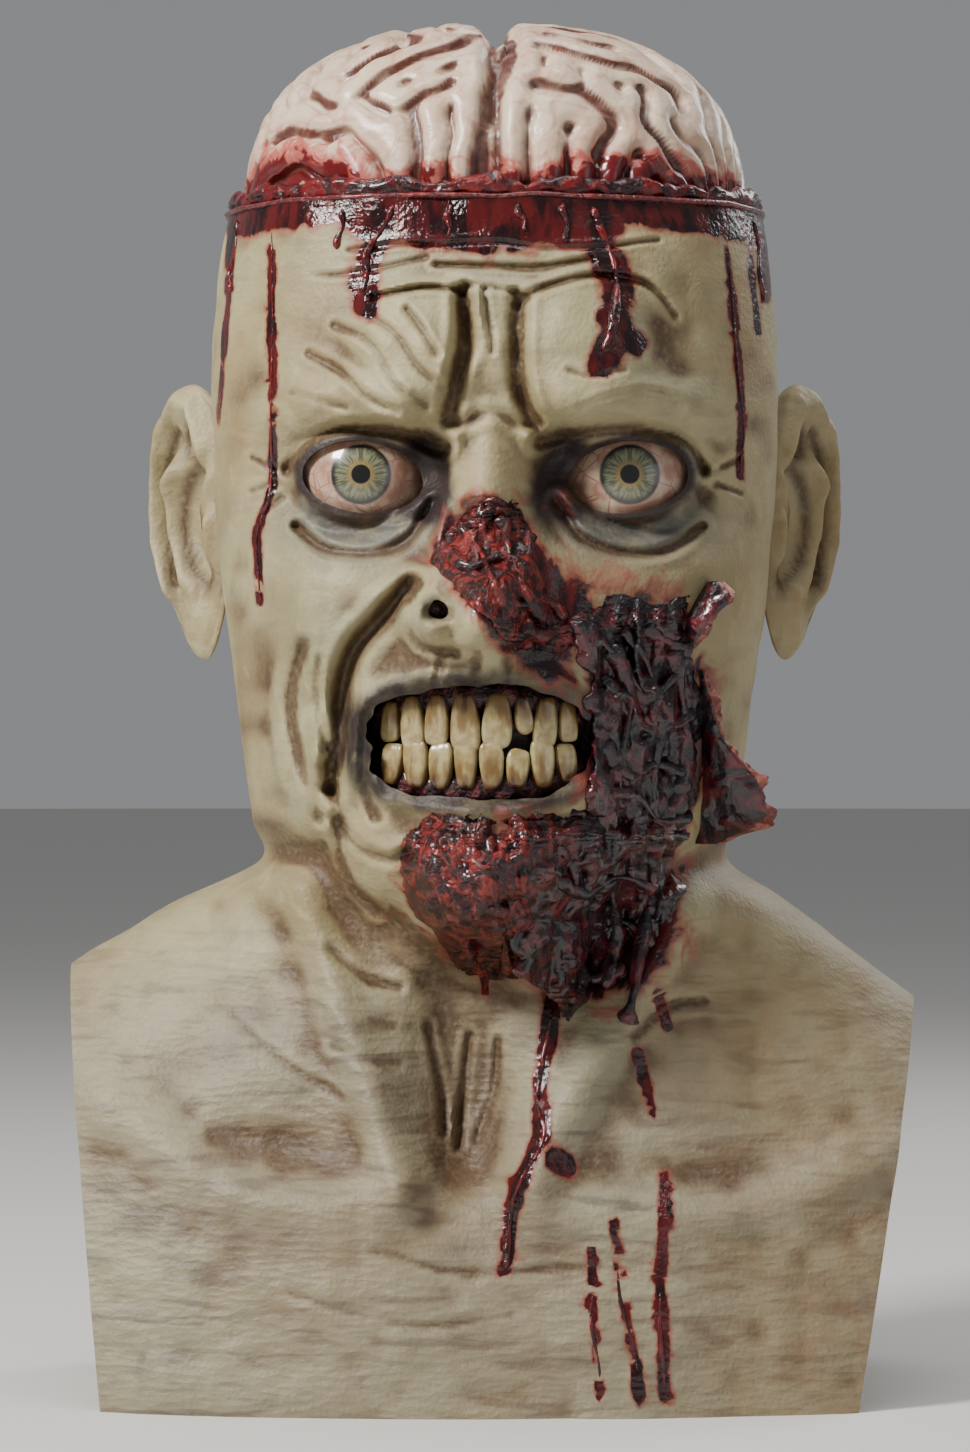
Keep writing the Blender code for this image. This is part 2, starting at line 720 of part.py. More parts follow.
def tooth(name, share, width, bite, root):
    """One tooth: a rounded block that narrows to its root and faces along the arch."""
    bm = bmesh.new()
    bmesh.ops.create_cube(bm, size=1.0)
    bmesh.ops.bevel(bm, geom=bm.edges[:], offset=0.24, segments=1, profile=0.5, affect="EDGES", material=-1)
    half = MOUTH_OPEN / 2
    fit = max(1 - abs(share * 0.97) ** 2.6, 0) ** (1 / 2.6) - 0.06
    root = math.copysign(min(abs(root), fit), root)
    height = abs(root - bite) * half
    middle = MOUTH_HEIGHT + (root + bite) / 2 * half
    for vert in bm.verts:
        to_root = vert.co.z * math.copysign(1, root) + 0.5
        vert.co.x *= 1 - 0.18 * to_root
        vert.co.y *= 1 - 0.15 * (1 - to_root)
    bmesh.ops.scale(bm, vec=(width, TOOTH_DEPTH, height), verts=bm.verts)
    x0, y0 = arch_point(share - 0.03, 0)
    x1, y1 = arch_point(share + 0.03, 0)
    bmesh.ops.rotate(bm, matrix=Matrix.Rotation(math.atan2(y1 - y0, x1 - x0), 3, "Z"), verts=bm.verts)
    x, y = arch_point(share, TOOTH_SET + TOOTH_DEPTH / 2 - GAP)
    bmesh.ops.translate(bm, vec=(x, y, middle), verts=bm.verts)
    return finish(bm, name)


def teeth():
    pieces = []
    for name, bite, root, widths in TOOTH_ROWS:
        total = sum(widths)
        edge = -0.86
        span = 1.72
        for number, width in enumerate(widths, start=1):
            share = edge + span * width / total / 2
            edge += span * width / total
            run = span * width / total * MOUTH_WIDTH / 2
            slope = arch_slope(share)
            pieces.append(tooth(f"{name}_{number}", share, run * slope - TOOTH_GAP, bite, root))
    return pieces


def arch_slope(share):
    """Length along the arch for each unit across."""
    x0, y0 = arch_point(share - 0.03, 0)
    x1, y1 = arch_point(share + 0.03, 0)
    return math.hypot(x1 - x0, y1 - y0) / (x1 - x0)


def lumps(x, z):
    """Uneven surface of raw flesh, about -1 to 1."""
    across, up = x / HALF, z / FACE
    return 0.5 * np.sin(31 * across + 9 * np.sin(17 * up)) + 0.5 * np.sin(43 * up + 4 * np.sin(23 * across))


def flesh(name, rows, lift, hang, skin, thin_to):
    """Slab of raw flesh on the skin, with its outline from rows and a lumpy face.

    Below the level hang it leaves the skin and hangs almost straight down.
    """
    ups, lefts, rights = np.array(rows).T
    bm = bmesh.new()
    bmesh.ops.create_cube(bm, size=2.0)
    edges = [e for e in bm.edges if abs(e.verts[0].co.y - e.verts[1].co.y) < 1]
    bmesh.ops.subdivide_edges(bm, edges=edges, cuts=11, use_grid_fill=True)
    for vert in bm.verts:
        sx, sy, sz = vert.co
        up = ups[0] + (ups[-1] - ups[0]) * (sz + 1) / 2
        left = smooth_through(ups, lefts, up)
        right = smooth_through(ups, rights, up)
        x = (left + (right - left) * (sx + 1) / 2) * HALF
        z = CHIN_HEIGHT + up * FACE
        held = max(z, CHIN_HEIGHT + hang * FACE)
        y = float(skin_y(x, held)) + 0.3 * (held - z)
        edge = max(abs(sx), abs(sz))
        if sy < 0:
            y -= lift * (1 + (0.55 * lumps(x, z) + 0.5) * (1 - edge**4))
        else:
            y += lift * (3 - 2 * smooth_step(0, 3 * lift, held - z))
        vert.co = (x, y, z)
    piece = finish(bm, name)
    decimate(piece, thin_to)
    boolean(piece, skin)
    return piece


def flap(name, rows, skin):
    """Torn sheet that leaves the skin along its root and curls forward and out."""
    ups, roots, reaches, lifts = np.array(rows).T

    def sheet_point(column, row):
        up = ups[0] + (ups[-1] - ups[0]) * row
        root = smooth_through(ups, roots, up)
        x = root + smooth_through(ups, reaches, up) * column
        z = CHIN_HEIGHT + up * FACE
        lift = smooth_through(ups, lifts, up) * np.sin(2.2 * column)
        y = skin_y(root * HALF, z) + FLAP_ROOT * (1 - column) - HEAD_FRONT * lift
        return np.array((x * HALF, y, z), float)

    bm = bmesh.new()
    bmesh.ops.create_cube(bm, size=1.0)
    edges = [e for e in bm.edges if abs(e.verts[0].co.y - e.verts[1].co.y) < 0.5]
    bmesh.ops.subdivide_edges(bm, edges=edges, cuts=5, use_grid_fill=True)
    for vert in bm.verts:
        column, row = vert.co.x + 0.5, vert.co.z + 0.5
        x, y, z = sheet_point(column, row)
        ahead = sheet_point(column + 0.01, row) - sheet_point(column - 0.01, row)
        across = Vector((ahead[1], -ahead[0], 0)).normalized()
        side = math.copysign(FLAP_THICKNESS / 2, -vert.co.y)
        vert.co = Vector((x, y, z)) + across * side
    piece = finish(bm, name)
    boolean(piece, skin)
    return piece


def sulcus_depth(turn, rise, spread):
    """Depth of the folds on the brain at a spot of its dome, each side widened by spread degrees."""
    right = (90 - rise) * np.sin(turn)
    front = np.abs((90 - rise) * np.cos(turn))
    depth = np.zeros(np.shape(right))
    for points in SULCI:
        nearest = np.full(np.shape(right), 999.0)
        for (x0, y0), (x1, y1) in zip(points, points[1:]):
            dx, dy = x1 - x0, y1 - y0
            t = np.clip(((right - x0) * dx + (front - y0) * dy) / (dx * dx + dy * dy), 0, 1)
            nearest = np.minimum(nearest, np.hypot(right - x0 - t * dx, front - y0 - t * dy))
        nearest = np.maximum(nearest - spread, 0)
        depth = np.maximum(depth, SULCUS_DEPTH * np.exp(-((nearest / SULCUS_WIDTH) ** 2)))
    return depth


def dome(name, inset, columns, rows, flange, hidden):
    """Closed, folded dome on the scalp edge, moved in by inset, with its foot flange wider than the dome."""
    half, front, back = (size - WALL - BRAIN_LEDGE - inset for size in form_at(RIM_HEIGHT))
    height = MASK_HEIGHT - RIM_HEIGHT - inset
    foot_rows, step_row = 0.06, 0.12
    foot = RIM_HEIGHT - BRAIN_SEAT - (BRAIN_SEAT if hidden else 0)

    def place(column, row):
        turn = column_turn(column, 0.25)
        rise = 90 * np.clip((row - step_row) / (1 - step_row), 0, 1)
        up = np.radians(rise)
        wider = flange * (1 - smooth_step(foot_rows, step_row, row))
        x, y, _ = superellipse(turn, half + wider, front + wider, back + wider, squareness_at(RIM_HEIGHT))
        x, y = x * np.cos(up) ** DOME_POWER, y * np.cos(up) ** DOME_POWER
        z = RIM_HEIGHT - SEAM_STEP + height * np.sin(up) ** DOME_POWER
        z = np.where(row < foot_rows, foot + (RIM_HEIGHT - SEAM_STEP - foot) * row / foot_rows, z)
        depth = sulcus_depth(turn, rise, inset * SULCUS_WIDTH / FISSURE_WIDTH)
        depth = depth + FISSURE_DEPTH * np.exp(-((np.maximum(np.abs(x) - inset, 0) / FISSURE_WIDTH) ** 2))
        depth = depth * smooth_step(0.0, 6.0, rise)
        away = np.hypot(x / half, y / front) + 1e-6
        level = np.sin(up)
        x = x - x / half / away * depth * (1 - level)
        y = y - y / front / away * depth * (1 - level)
        return x, y, z - depth * level

    bm = warped_grid(columns, rows, place)
    close_ends(bm)
    return finish(bm, name, hidden)


def build_brain():
    """Hollow latex brain, its foot seated in the hollow of the head."""
    piece = dome("brain", 0.0, 120, 44, BRAIN_LEDGE + BRAIN_SPARE, hidden=False)
    decimate(piece, BRAIN_FACES)
    seat = cavity("brain_seat")
    swell(seat, -GAP)
    boolean(piece, seat, "INTERSECT")
    hollow = dome("brain_hollow", BRAIN_WALL, 96, 36, 0.0, hidden=True)
    decimate(hollow, BRAIN_FACES / 2)
    boolean(piece, hollow)
    return piece


def build_ring():
    """Thick bead of blood round the brain, lying on the scalp edge."""
    half, front, back = form_at(RIM_HEIGHT)
    reach = (WALL + BRAIN_LEDGE - 2 * GAP) / 2

    def place(column, row):
        around = 2 * math.pi * row
        inset = reach * (1 - np.cos(around))
        turn = column_turn(column, 0)
        x, y, _ = superellipse(turn, half - inset, front - inset, back - inset, squareness_at(RIM_HEIGHT))
        return x, y, RIM_HEIGHT + GAP + RING_HEIGHT * (0.5 + 0.5 * np.sin(around))

    return finish(warped_grid(48, 6, place), "blood_ring")


def build_skin():
    skin = head_form("skin", 110, 150, hidden=False)
    decimate(skin, SKIN_FACES)
    for name, side in (("ear_left", -1), ("ear_right", 1)):
        ear_piece = ear(name, side)
        decimate(ear_piece, EAR_FACES)
        boolean(skin, ear_piece, "UNION")
    boolean(skin, cavity("head_hollow"))
    far = CHEST_WIDTH
    boolean(skin, box("above_scalp_edge", (-far, -far, RIM_HEIGHT), (far, far, RIM_HEIGHT + far)))
    boolean(skin, box("below_lower_edge", (-far, -far, -far), (far, far, 0)))
    boolean(skin, arm_hole("arm_hole_left", -1, BASE_LEFT))
    boolean(skin, arm_hole("arm_hole_right", 1, BASE_RIGHT))
    for name, centre in zip(("left", "right"), eye_centres()):
        boolean(skin, eye_opening(f"lid_opening_{name}", centre))
        boolean(skin, ball(f"eye_seat_{name}", centre, EYE_RADIUS + GAP, hidden=True))
    boolean(skin, mouth_cutter())
    return skin


MATERIALS = {
    # colour, roughness
    "latex": ((0.52, 0.48, 0.34, 1), 0.55),
    "brain_latex": ((0.72, 0.50, 0.42, 1), 0.45),
    "eye_acrylic": ((0.78, 0.72, 0.60, 1), 0.12),
    "tooth_resin": ((0.55, 0.47, 0.24, 1), 0.25),
    "gum_resin": ((0.10, 0.03, 0.03, 1), 0.35),
    "raw_flesh": ((0.12, 0.01, 0.01, 1), 0.20),
    "dark_flesh": ((0.03, 0.02, 0.025, 1), 0.20),
    "blood_gel": ((0.10, 0.006, 0.008, 1), 0.12),
}


def paint(piece, name):
    colour, roughness = MATERIALS[name]
    material = bpy.data.materials.get(name) or bpy.data.materials.new(name)
    material.use_nodes = True
    shader = material.node_tree.nodes["Principled BSDF"]
    shader.inputs["Base Color"].default_value = colour
    shader.inputs["Roughness"].default_value = roughness
    piece.data.materials.clear()
    piece.data.materials.append(material)


def main():
    for old in list(bpy.data.objects):
        bpy.data.objects.remove(old)
    paint(build_skin(), "latex")
    paint(build_brain(), "brain_latex")
    paint(build_ring(), "blood_gel")
    for name, centre in zip(("eye_left", "eye_right"), eye_centres()):
        paint(eye(name, centre), "eye_acrylic")
    for name, _, root, _ in TOOTH_ROWS:
        paint(gum(name.replace("tooth", "gum"), root), "gum_resin")
    for piece in teeth():
        paint(piece, "tooth_resin")
    skin_guard = head_form("skin_guard", 110, 150, hidden=True)
    decimate(skin_guard, SKIN_FACES)
    swell(skin_guard, GAP)
    paint(flesh("nose_flesh", NOSE_FLESH, NOSE_LIFT, NO_HANG, skin_guard, 160), "raw_flesh")
    paint(flesh("cheek_flesh", CHEEK_FLESH, FLESH_LIFT, NO_HANG, skin_guard, 200), "dark_flesh")
    paint(flesh("chin_flesh", CHIN_FLESH, FLESH_LIFT, NO_HANG, skin_guard, 180), "raw_flesh")
    paint(flesh("jaw_flesh", JAW_FLESH, FLESH_LIFT, JAW_HANG, skin_guard, 220), "dark_flesh")
    paint(flap("cheek_flap", CHEEK_FLAP, skin_guard), "dark_flesh")
    paint(flap("tear_tip", TEAR_TIP, skin_guard), "dark_flesh")


main()
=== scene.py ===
"""Zombie mask in wet-look latex: sculpted skin, bare brain, glass eyes, bared teeth and torn flesh.

Metres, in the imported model's frame: +Z up, the face looks along -Y.
"""

import json
import math

import bmesh
import bpy
import numpy as np
from mathutils import Matrix, Vector

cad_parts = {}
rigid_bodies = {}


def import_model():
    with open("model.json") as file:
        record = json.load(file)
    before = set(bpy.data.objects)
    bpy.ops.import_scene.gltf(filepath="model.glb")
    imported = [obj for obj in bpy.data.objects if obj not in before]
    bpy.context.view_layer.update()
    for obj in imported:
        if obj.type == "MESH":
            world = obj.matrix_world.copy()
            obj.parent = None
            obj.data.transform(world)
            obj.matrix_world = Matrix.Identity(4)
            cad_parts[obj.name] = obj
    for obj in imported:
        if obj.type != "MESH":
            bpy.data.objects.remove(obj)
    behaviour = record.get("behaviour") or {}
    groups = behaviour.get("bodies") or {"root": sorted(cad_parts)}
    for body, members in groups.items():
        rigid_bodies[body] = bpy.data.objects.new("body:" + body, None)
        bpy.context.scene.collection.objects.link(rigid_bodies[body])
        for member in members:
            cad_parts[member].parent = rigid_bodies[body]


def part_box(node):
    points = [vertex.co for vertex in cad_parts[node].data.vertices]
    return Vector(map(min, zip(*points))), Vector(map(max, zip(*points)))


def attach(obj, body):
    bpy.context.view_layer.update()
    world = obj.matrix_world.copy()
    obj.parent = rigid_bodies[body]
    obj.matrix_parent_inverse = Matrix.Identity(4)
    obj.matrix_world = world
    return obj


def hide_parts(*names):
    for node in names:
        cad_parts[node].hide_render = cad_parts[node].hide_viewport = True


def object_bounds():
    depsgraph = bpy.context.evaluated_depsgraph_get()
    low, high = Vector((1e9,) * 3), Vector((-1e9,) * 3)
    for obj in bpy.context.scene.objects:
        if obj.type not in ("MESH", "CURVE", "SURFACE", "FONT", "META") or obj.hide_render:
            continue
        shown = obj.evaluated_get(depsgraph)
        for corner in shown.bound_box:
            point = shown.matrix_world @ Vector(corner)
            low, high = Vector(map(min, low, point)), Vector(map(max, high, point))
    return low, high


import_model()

cad_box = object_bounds()

# Driving sizes, taken from the frame
MASK_HEIGHT = float(cad_box[1][2])
RIM_HEIGHT = float(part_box("skin")[1][2])
EYE_LOW, EYE_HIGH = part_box("eye_left")
EYE_RADIUS = float(EYE_HIGH[2] - EYE_LOW[2]) / 2 * 1.0174
EYE_HEIGHT = float(EYE_HIGH[2] + EYE_LOW[2]) / 2
EYE_SPACING = abs(float(EYE_HIGH[0] + EYE_LOW[0]))
EYE_FRONT = float(EYE_LOW[1])

# Sizes of the sculpture
CHIN_HEIGHT = 0.159
NECK_HEIGHT = 0.184
HEAD_WIDTH = 0.199
HEAD_FRONT = 0.096
HEAD_BACK = 0.126
NECK_WIDTH = 0.166
NECK_FRONT = 0.066
NECK_BACK = 0.079
CHEST_WIDTH = 0.376
CHEST_FRONT = 0.099
CHEST_BACK = 0.098
SHOULDER_HALF = 0.149
SHOULDER_DROP = 0.007
BASE_LEFT = 0.134
BASE_RIGHT = 0.123
WALL = 0.003
LID = 0.0026
MOUTH_ACROSS = -0.0054
MOUTH_HEIGHT = 0.227
MOUTH_WIDTH = 0.076
MOUTH_OPEN = 0.038
MOUTH_DEEP = 0.0154
EAR_HEIGHT = 0.098
EAR_WIDTH = 0.050
EAR_THICKNESS = 0.007
EAR_LEVEL = 0.305
EAR_ANGLE = 52
EAR_LEAN = 8
BRAIN_LEDGE = 0.0025
HALF = HEAD_WIDTH / 2
FACE = RIM_HEIGHT - CHIN_HEIGHT
OVERRUN = 0.010

# Columns and rows of the large meshes, and what the skin is thinned to
SKIN_GRID = (440, 520)
SKIN_FACES = 128000
HOLLOW_GRID = (110, 90)
BRAIN_GRID = (420, 190)
BEAD_GRID = (620, 26)
LIP_GRID = (420, 10)
FLESH_GRID = (150, 190)
FLAP_GRID = (90, 110)
GUM_GRID = (180, 36)
EYE_CLEARANCE = 0.0003
BRAIN_WALL = 0.0030
IRIS_RADIUS = 0.0098
CREASE_ANGLE = 50

# Smooth head: how far each section is from neck size (0) to head size (1)
HEAD_SECTIONS = (
    # height, width, front, back, squareness
    (0.00, 0.00, 0.00, 0.00, 2.10),
    (0.07, 0.16, 0.17, 0.12, 2.20),
    (0.16, 0.33, 0.40, 0.31, 2.25),
    (0.25, 0.47, 0.62, 0.52, 2.25),
    (0.33, 0.59, 0.80, 0.71, 2.25),
    (0.47, 0.82, 0.96, 0.90, 2.25),
    (0.60, 0.96, 1.00, 1.00, 2.25),
    (0.73, 1.00, 0.98, 1.00, 2.25),
    (0.86, 0.93, 0.87, 0.86, 2.25),
    (0.95, 0.79, 0.74, 0.70, 2.25),
    (1.00, 0.66, 0.65, 0.60, 2.25),
)

# Neck and chest: how far each section is from chest size (1) to neck size (0)
CHEST_SECTIONS = (
    # height, width, front, back, squareness
    (0.00, 1.00, 1.00, 1.00, 2.50),
    (0.27, 1.00, 0.73, 0.95, 2.35),
    (0.49, 0.99, 0.36, 0.79, 2.00),
    (0.65, 0.89, 0.12, 0.58, 1.75),
    (0.74, 0.71, 0.00, 0.42, 1.65),
    (0.815, 0.53, -0.06, 0.26, 1.60),
    (0.90, 0.305, -0.09, 0.10, 1.70),
    (0.957, 0.13, -0.05, 0.00, 1.92),
)

# Below, across is a share of half the head's width, up a share of the face from chin to scalp edge,
# and rise a share of the head's front.
JAW = (
    # up, rise, width
    (-0.075, 0.00, 0.34),
    (-0.020, 0.15, 0.36),
    (0.016, 0.37, 0.41),
    (0.063, 0.47, 0.48),
    (0.160, 0.42, 0.56),
    (0.260, 0.31, 0.60),
    (0.360, 0.21, 0.64),
    (0.460, 0.09, 0.68),
    (0.560, 0.00, 0.70),
)
JAW_LINE_LIFT = 0.36
NOSE = (
    # up, rise, width
    (0.355, 0.00, 0.20),
    (0.380, 0.08, 0.215),
    (0.405, 0.20, 0.215),
    (0.447, 0.27, 0.20),
    (0.498, 0.25, 0.165),
    (0.557, 0.19, 0.135),
    (0.636, 0.09, 0.10),
    (0.690, 0.02, 0.09),
    (0.730, 0.00, 0.09),
)
NOSE_ACROSS = -0.035

# Rounded swellings and hollows. A higher edge gives a flatter top with a steeper side.
SWELLINGS = (
    # across, up, width, height, rise, edge
    (-0.452, 0.615, 0.29, 0.088, -0.150, 1.6),
    (0.452, 0.615, 0.29, 0.088, -0.150, 1.6),
    (-0.300, 0.780, 0.19, 0.095, 0.075, 2.0),
    (0.300, 0.785, 0.22, 0.105, 0.085, 2.2),
    (-0.500, 0.715, 0.28, 0.040, 0.085, 1.4),
    (0.520, 0.715, 0.28, 0.040, 0.085, 1.4),
    (-0.215, 0.650, 0.070, 0.050, -0.060, 1.4),
    (0.195, 0.650, 0.070, 0.050, -0.060, 1.4),
    (-0.640, 0.470, 0.22, 0.070, 0.055, 1.2),
    (0.640, 0.490, 0.22, 0.060, 0.055, 1.2),
    (-0.030, 0.535, 0.135, 0.050, -0.110, 2.4),
    (-0.235, 0.430, 0.080, 0.036, 0.075, 1.6),
    (0.150, 0.430, 0.110, 0.060, -0.080, 1.6),
    (-0.100, 0.075, 0.260, 0.070, 0.040, 1.5),
    (0.510, 0.280, 0.190, 0.165, -0.080, 3.0),
    (0.300, 0.060, 0.240, 0.100, -0.050, 2.0),
    (-0.100, -0.150, 0.190, 0.170, -0.110, 1.6),
    (-0.100, -0.270, 0.120, 0.060, -0.060, 1.3),
    # fine forms of the face
    (-0.860, 0.700, 0.140, 0.110, -0.035, 1.4),
    (0.860, 0.700, 0.140, 0.110, -0.035, 1.4),
    (-0.420, 0.105, 0.110, 0.062, 0.055, 1.6),
    (-0.170, 0.030, 0.110, 0.045, 0.030, 1.4),
    (-0.390, 0.300, 0.100, 0.075, 0.030, 1.2),
    (-0.190, 0.372, 0.130, 0.030, 0.028, 1.3),
    (-0.235, 0.435, 0.075, 0.034, 0.085, 1.9),
    (-0.080, 0.420, 0.060, 0.030, 0.030, 1.5),
    (-0.300, 0.790, 0.170, 0.080, 0.030, 1.6),
    (0.300, 0.795, 0.200, 0.090, 0.034, 1.6),
    (-0.560, 0.470, 0.200, 0.060, 0.030, 1.4),
    (-0.100, -0.200, 0.130, 0.130, -0.050, 1.5),
    (-0.450, -0.480, 0.300, 0.110, 0.050, 1.3),
    (0.450, -0.480, 0.300, 0.110, 0.045, 1.3),
    (-0.800, -0.300, 0.240, 0.040, -0.045, 1.3),
    (0.800, -0.300, 0.240, 0.040, -0.045, 1.3),
    (0.150, 0.372, 0.110, 0.028, 0.024, 1.3),
    (-0.017, 0.372, 0.035, 0.018, 0.030, 1.3),
    (-0.190, 0.440, 0.040, 0.014, -0.065, 1.6),
    (-0.335, 0.560, 0.110, 0.018, 0.016, 1.2),
    (0.335, 0.560, 0.110, 0.018, 0.016, 1.2),
    (-0.300, 0.715, 0.085, 0.022, 0.020, 1.3),
    (-0.620, 0.760, 0.160, 0.030, 0.016, 1.3),
    (0.620, 0.765, 0.160, 0.030, 0.012, 1.3),
    (-0.200, 0.800, 0.060, 0.060, 0.018, 1.4),
    (-0.090, -0.060, 0.085, 0.060, 0.030, 1.3),
)

# Long ridges (positive rise) and creases (negative rise), each a chain of (across, up) points
FOLDS = (
    # width, rise, points
    (0.060, 0.030, ((-0.020, 0.865), (-0.015, 0.700))),
    (0.090, 0.090, ((-0.680, 0.060), (-0.480, -0.150), (-0.330, -0.320))),
    (0.090, 0.090, ((0.640, 0.040), (0.350, -0.150), (0.130, -0.310))),
    (0.110, 0.070, ((-0.350, -0.350), (-0.800, -0.350), (-1.350, -0.250))),
    (0.110, 0.070, ((0.170, -0.350), (0.700, -0.350), (1.350, -0.270))),
    (0.080, 0.045, ((-0.600, 0.410), (-0.660, 0.300), (-0.640, 0.180))),
    # frown
    (0.026, -0.062, ((-0.108, 0.868), (-0.100, 0.810), (-0.122, 0.760), (-0.150, 0.700))),
    (0.026, -0.062, ((0.085, 0.860), (0.064, 0.790), (0.088, 0.730), (0.140, 0.690))),
    (0.012, -0.028, ((-0.030, 0.868), (-0.016, 0.785))),
    (0.012, -0.030, ((-0.420, 0.862), (-0.250, 0.872), (-0.110, 0.868))),
    (0.012, -0.022, ((-0.100, 0.876), (-0.020, 0.872), (0.075, 0.868))),
    (0.014, -0.034, ((0.076, 0.850), (0.165, 0.876), (0.330, 0.889), (0.500, 0.880), (0.610, 0.840))),
    (0.020, -0.022, ((-0.120, 0.692), (-0.017, 0.703), (0.100, 0.688))),
    (0.012, -0.020, ((-0.200, 0.905), (0.060, 0.901), (0.330, 0.915))),
    (0.010, -0.012, ((-0.500, 0.925), (-0.150, 0.935), (0.250, 0.930), (0.560, 0.940))),
    (0.010, -0.010, ((-0.620, 0.895), (-0.400, 0.900), (-0.230, 0.915))),
    # wrinkles over the brow
    (0.016, -0.024, ((-0.540, 0.826), (-0.430, 0.800), (-0.320, 0.742), (-0.225, 0.716))),
    (0.014, -0.022, ((-0.420, 0.834), (-0.330, 0.806), (-0.250, 0.765), (-0.172, 0.742))),
    (0.014, -0.020, ((-0.300, 0.842), (-0.240, 0.815), (-0.190, 0.785))),
    (0.014, -0.020, ((-0.640, 0.790), (-0.520, 0.760), (-0.430, 0.728), (-0.330, 0.706))),
    (0.016, 0.016, ((-0.480, 0.800), (-0.380, 0.772), (-0.280, 0.736))),
    (0.012, -0.014, ((-0.700, 0.740), (-0.600, 0.724), (-0.500, 0.712))),
    (0.012, -0.014, ((0.280, 0.712), (0.400, 0.730), (0.520, 0.738), (0.640, 0.728))),
    (0.010, -0.010, ((0.240, 0.760), (0.330, 0.752), (0.430, 0.762))),
    # brow edge over the lids
    (0.022, -0.046, ((-0.710, 0.640), (-0.620, 0.668), (-0.500, 0.684), (-0.330, 0.684), (-0.170, 0.664))),
    (0.022, -0.046, ((0.150, 0.668), (0.330, 0.686), (0.520, 0.686), (0.640, 0.668), (0.710, 0.640))),
    # bags under the eyes
    (0.060, 0.032, ((-0.640, 0.580), (-0.500, 0.552), (-0.350, 0.560), (-0.260, 0.590))),
    (0.060, 0.032, ((0.250, 0.590), (0.350, 0.560), (0.510, 0.552), (0.650, 0.580))),
    (0.018, -0.030, ((-0.690, 0.560), (-0.580, 0.528), (-0.430, 0.520), (-0.300, 0.540), (-0.205, 0.590))),
    (0.018, -0.030, ((0.205, 0.590), (0.300, 0.540), (0.450, 0.520), (0.600, 0.528), (0.700, 0.560))),
    (0.012, -0.018, ((-0.640, 0.596), (-0.520, 0.566), (-0.380, 0.570), (-0.290, 0.592))),
    (0.012, -0.018, ((0.290, 0.592), (0.380, 0.570), (0.530, 0.566), (0.650, 0.596))),
    (0.012, -0.014, ((-0.760, 0.640), (-0.840, 0.655))),
    (0.012, -0.014, ((-0.755, 0.620), (-0.850, 0.610))),
    (0.012, -0.014, ((-0.740, 0.600), (-0.820, 0.575))),
    (0.012, -0.014, ((0.760, 0.640), (0.840, 0.655))),
    (0.012, -0.014, ((0.755, 0.620), (0.850, 0.610))),
    # cheek and mouth
    (0.034, -0.075, (
        (-0.280, 0.474), (-0.390, 0.430), (-0.485, 0.388),
        (-0.528, 0.325), (-0.535, 0.265), (-0.570, 0.205)
    )),
    (0.026, -0.040, ((-0.655, 0.400), (-0.700, 0.325), (-0.660, 0.235), (-0.600, 0.170))),
    (0.022, -0.034, ((-0.560, 0.205), (-0.505, 0.140), (-0.380, 0.110), (-0.300, 0.120))),
    (0.020, -0.024, ((-0.440, 0.300), (-0.450, 0.230), (-0.410, 0.170))),
    (0.014, -0.018, ((-0.600, 0.380), (-0.610, 0.320), (-0.580, 0.260))),
    (0.016, -0.022, ((-0.555, 0.165), (-0.500, 0.080), (-0.400, 0.035))),
    (0.016, -0.030, ((-0.275, 0.464), (-0.288, 0.430), (-0.250, 0.400), (-0.130, 0.390))),
    (0.014, -0.016, ((-0.180, 0.385), (-0.195, 0.350))),
    (0.014, -0.018, ((-0.060, 0.392), (-0.060, 0.352))),
    (0.014, -0.016, ((0.040, 0.390), (0.045, 0.352))),
    (0.022, 0.020, ((-0.125, 0.680), (-0.150, 0.600), (-0.180, 0.540))),
    # throat and chest
    (0.014, -0.020, ((-0.230, -0.120), (-0.190, -0.200), (-0.180, -0.260))),
    (0.014, -0.022, ((-0.080, -0.130), (-0.110, -0.200), (-0.130, -0.280))),
    (0.014, -0.016, ((0.020, -0.130), (-0.010, -0.200), (-0.060, -0.270))),
    (0.018, -0.014, ((-0.560, -0.020), (-0.440, -0.060), (-0.330, -0.070))),
    (0.018, -0.014, ((-0.600, -0.070), (-0.460, -0.110), (-0.350, -0.120))),
    (0.018, -0.014, ((-0.540, -0.150), (-0.420, -0.170), (-0.330, -0.170))),
    (0.018, -0.012, ((0.480, -0.120), (0.600, -0.080), (0.720, -0.070))),
    (0.016, -0.010, ((-0.900, -0.120), (-0.700, -0.180), (-0.520, -0.220))),
    (0.016, -0.010, ((-0.400, -0.420), (-0.050, -0.440), (0.350, -0.420))),
    (0.016, -0.010, ((-0.700, -0.480), (-0.300, -0.510), (0.050, -0.490))),
)
LIP_RISE = 0.042
LIP_SPREAD = 0.16


def smooth_step(low, high, value):
    """0 at low, 1 at high, with a smooth rise between."""
    t = np.clip((value - low) / (high - low), 0, 1)
    return t * t * (3 - 2 * t)


def smooth_through(knots, values, at):
    """Value at a point of the smooth curve through a table's rows, level beyond its ends."""
    knots = np.asarray(knots, float)
    values = np.asarray(values, float)
    slopes = np.gradient(values, knots)
    at = np.clip(at, knots[0], knots[-1])
    i = np.clip(np.searchsorted(knots, at) - 1, 0, len(knots) - 2)
    step = knots[i + 1] - knots[i]
    t = (at - knots[i]) / step
    rise = (3 - 2 * t) * t * t
    bow = step * t * (1 - t) * ((1 - t) * slopes[i] - t * slopes[i + 1])
    return values[i] + (values[i + 1] - values[i]) * rise + bow


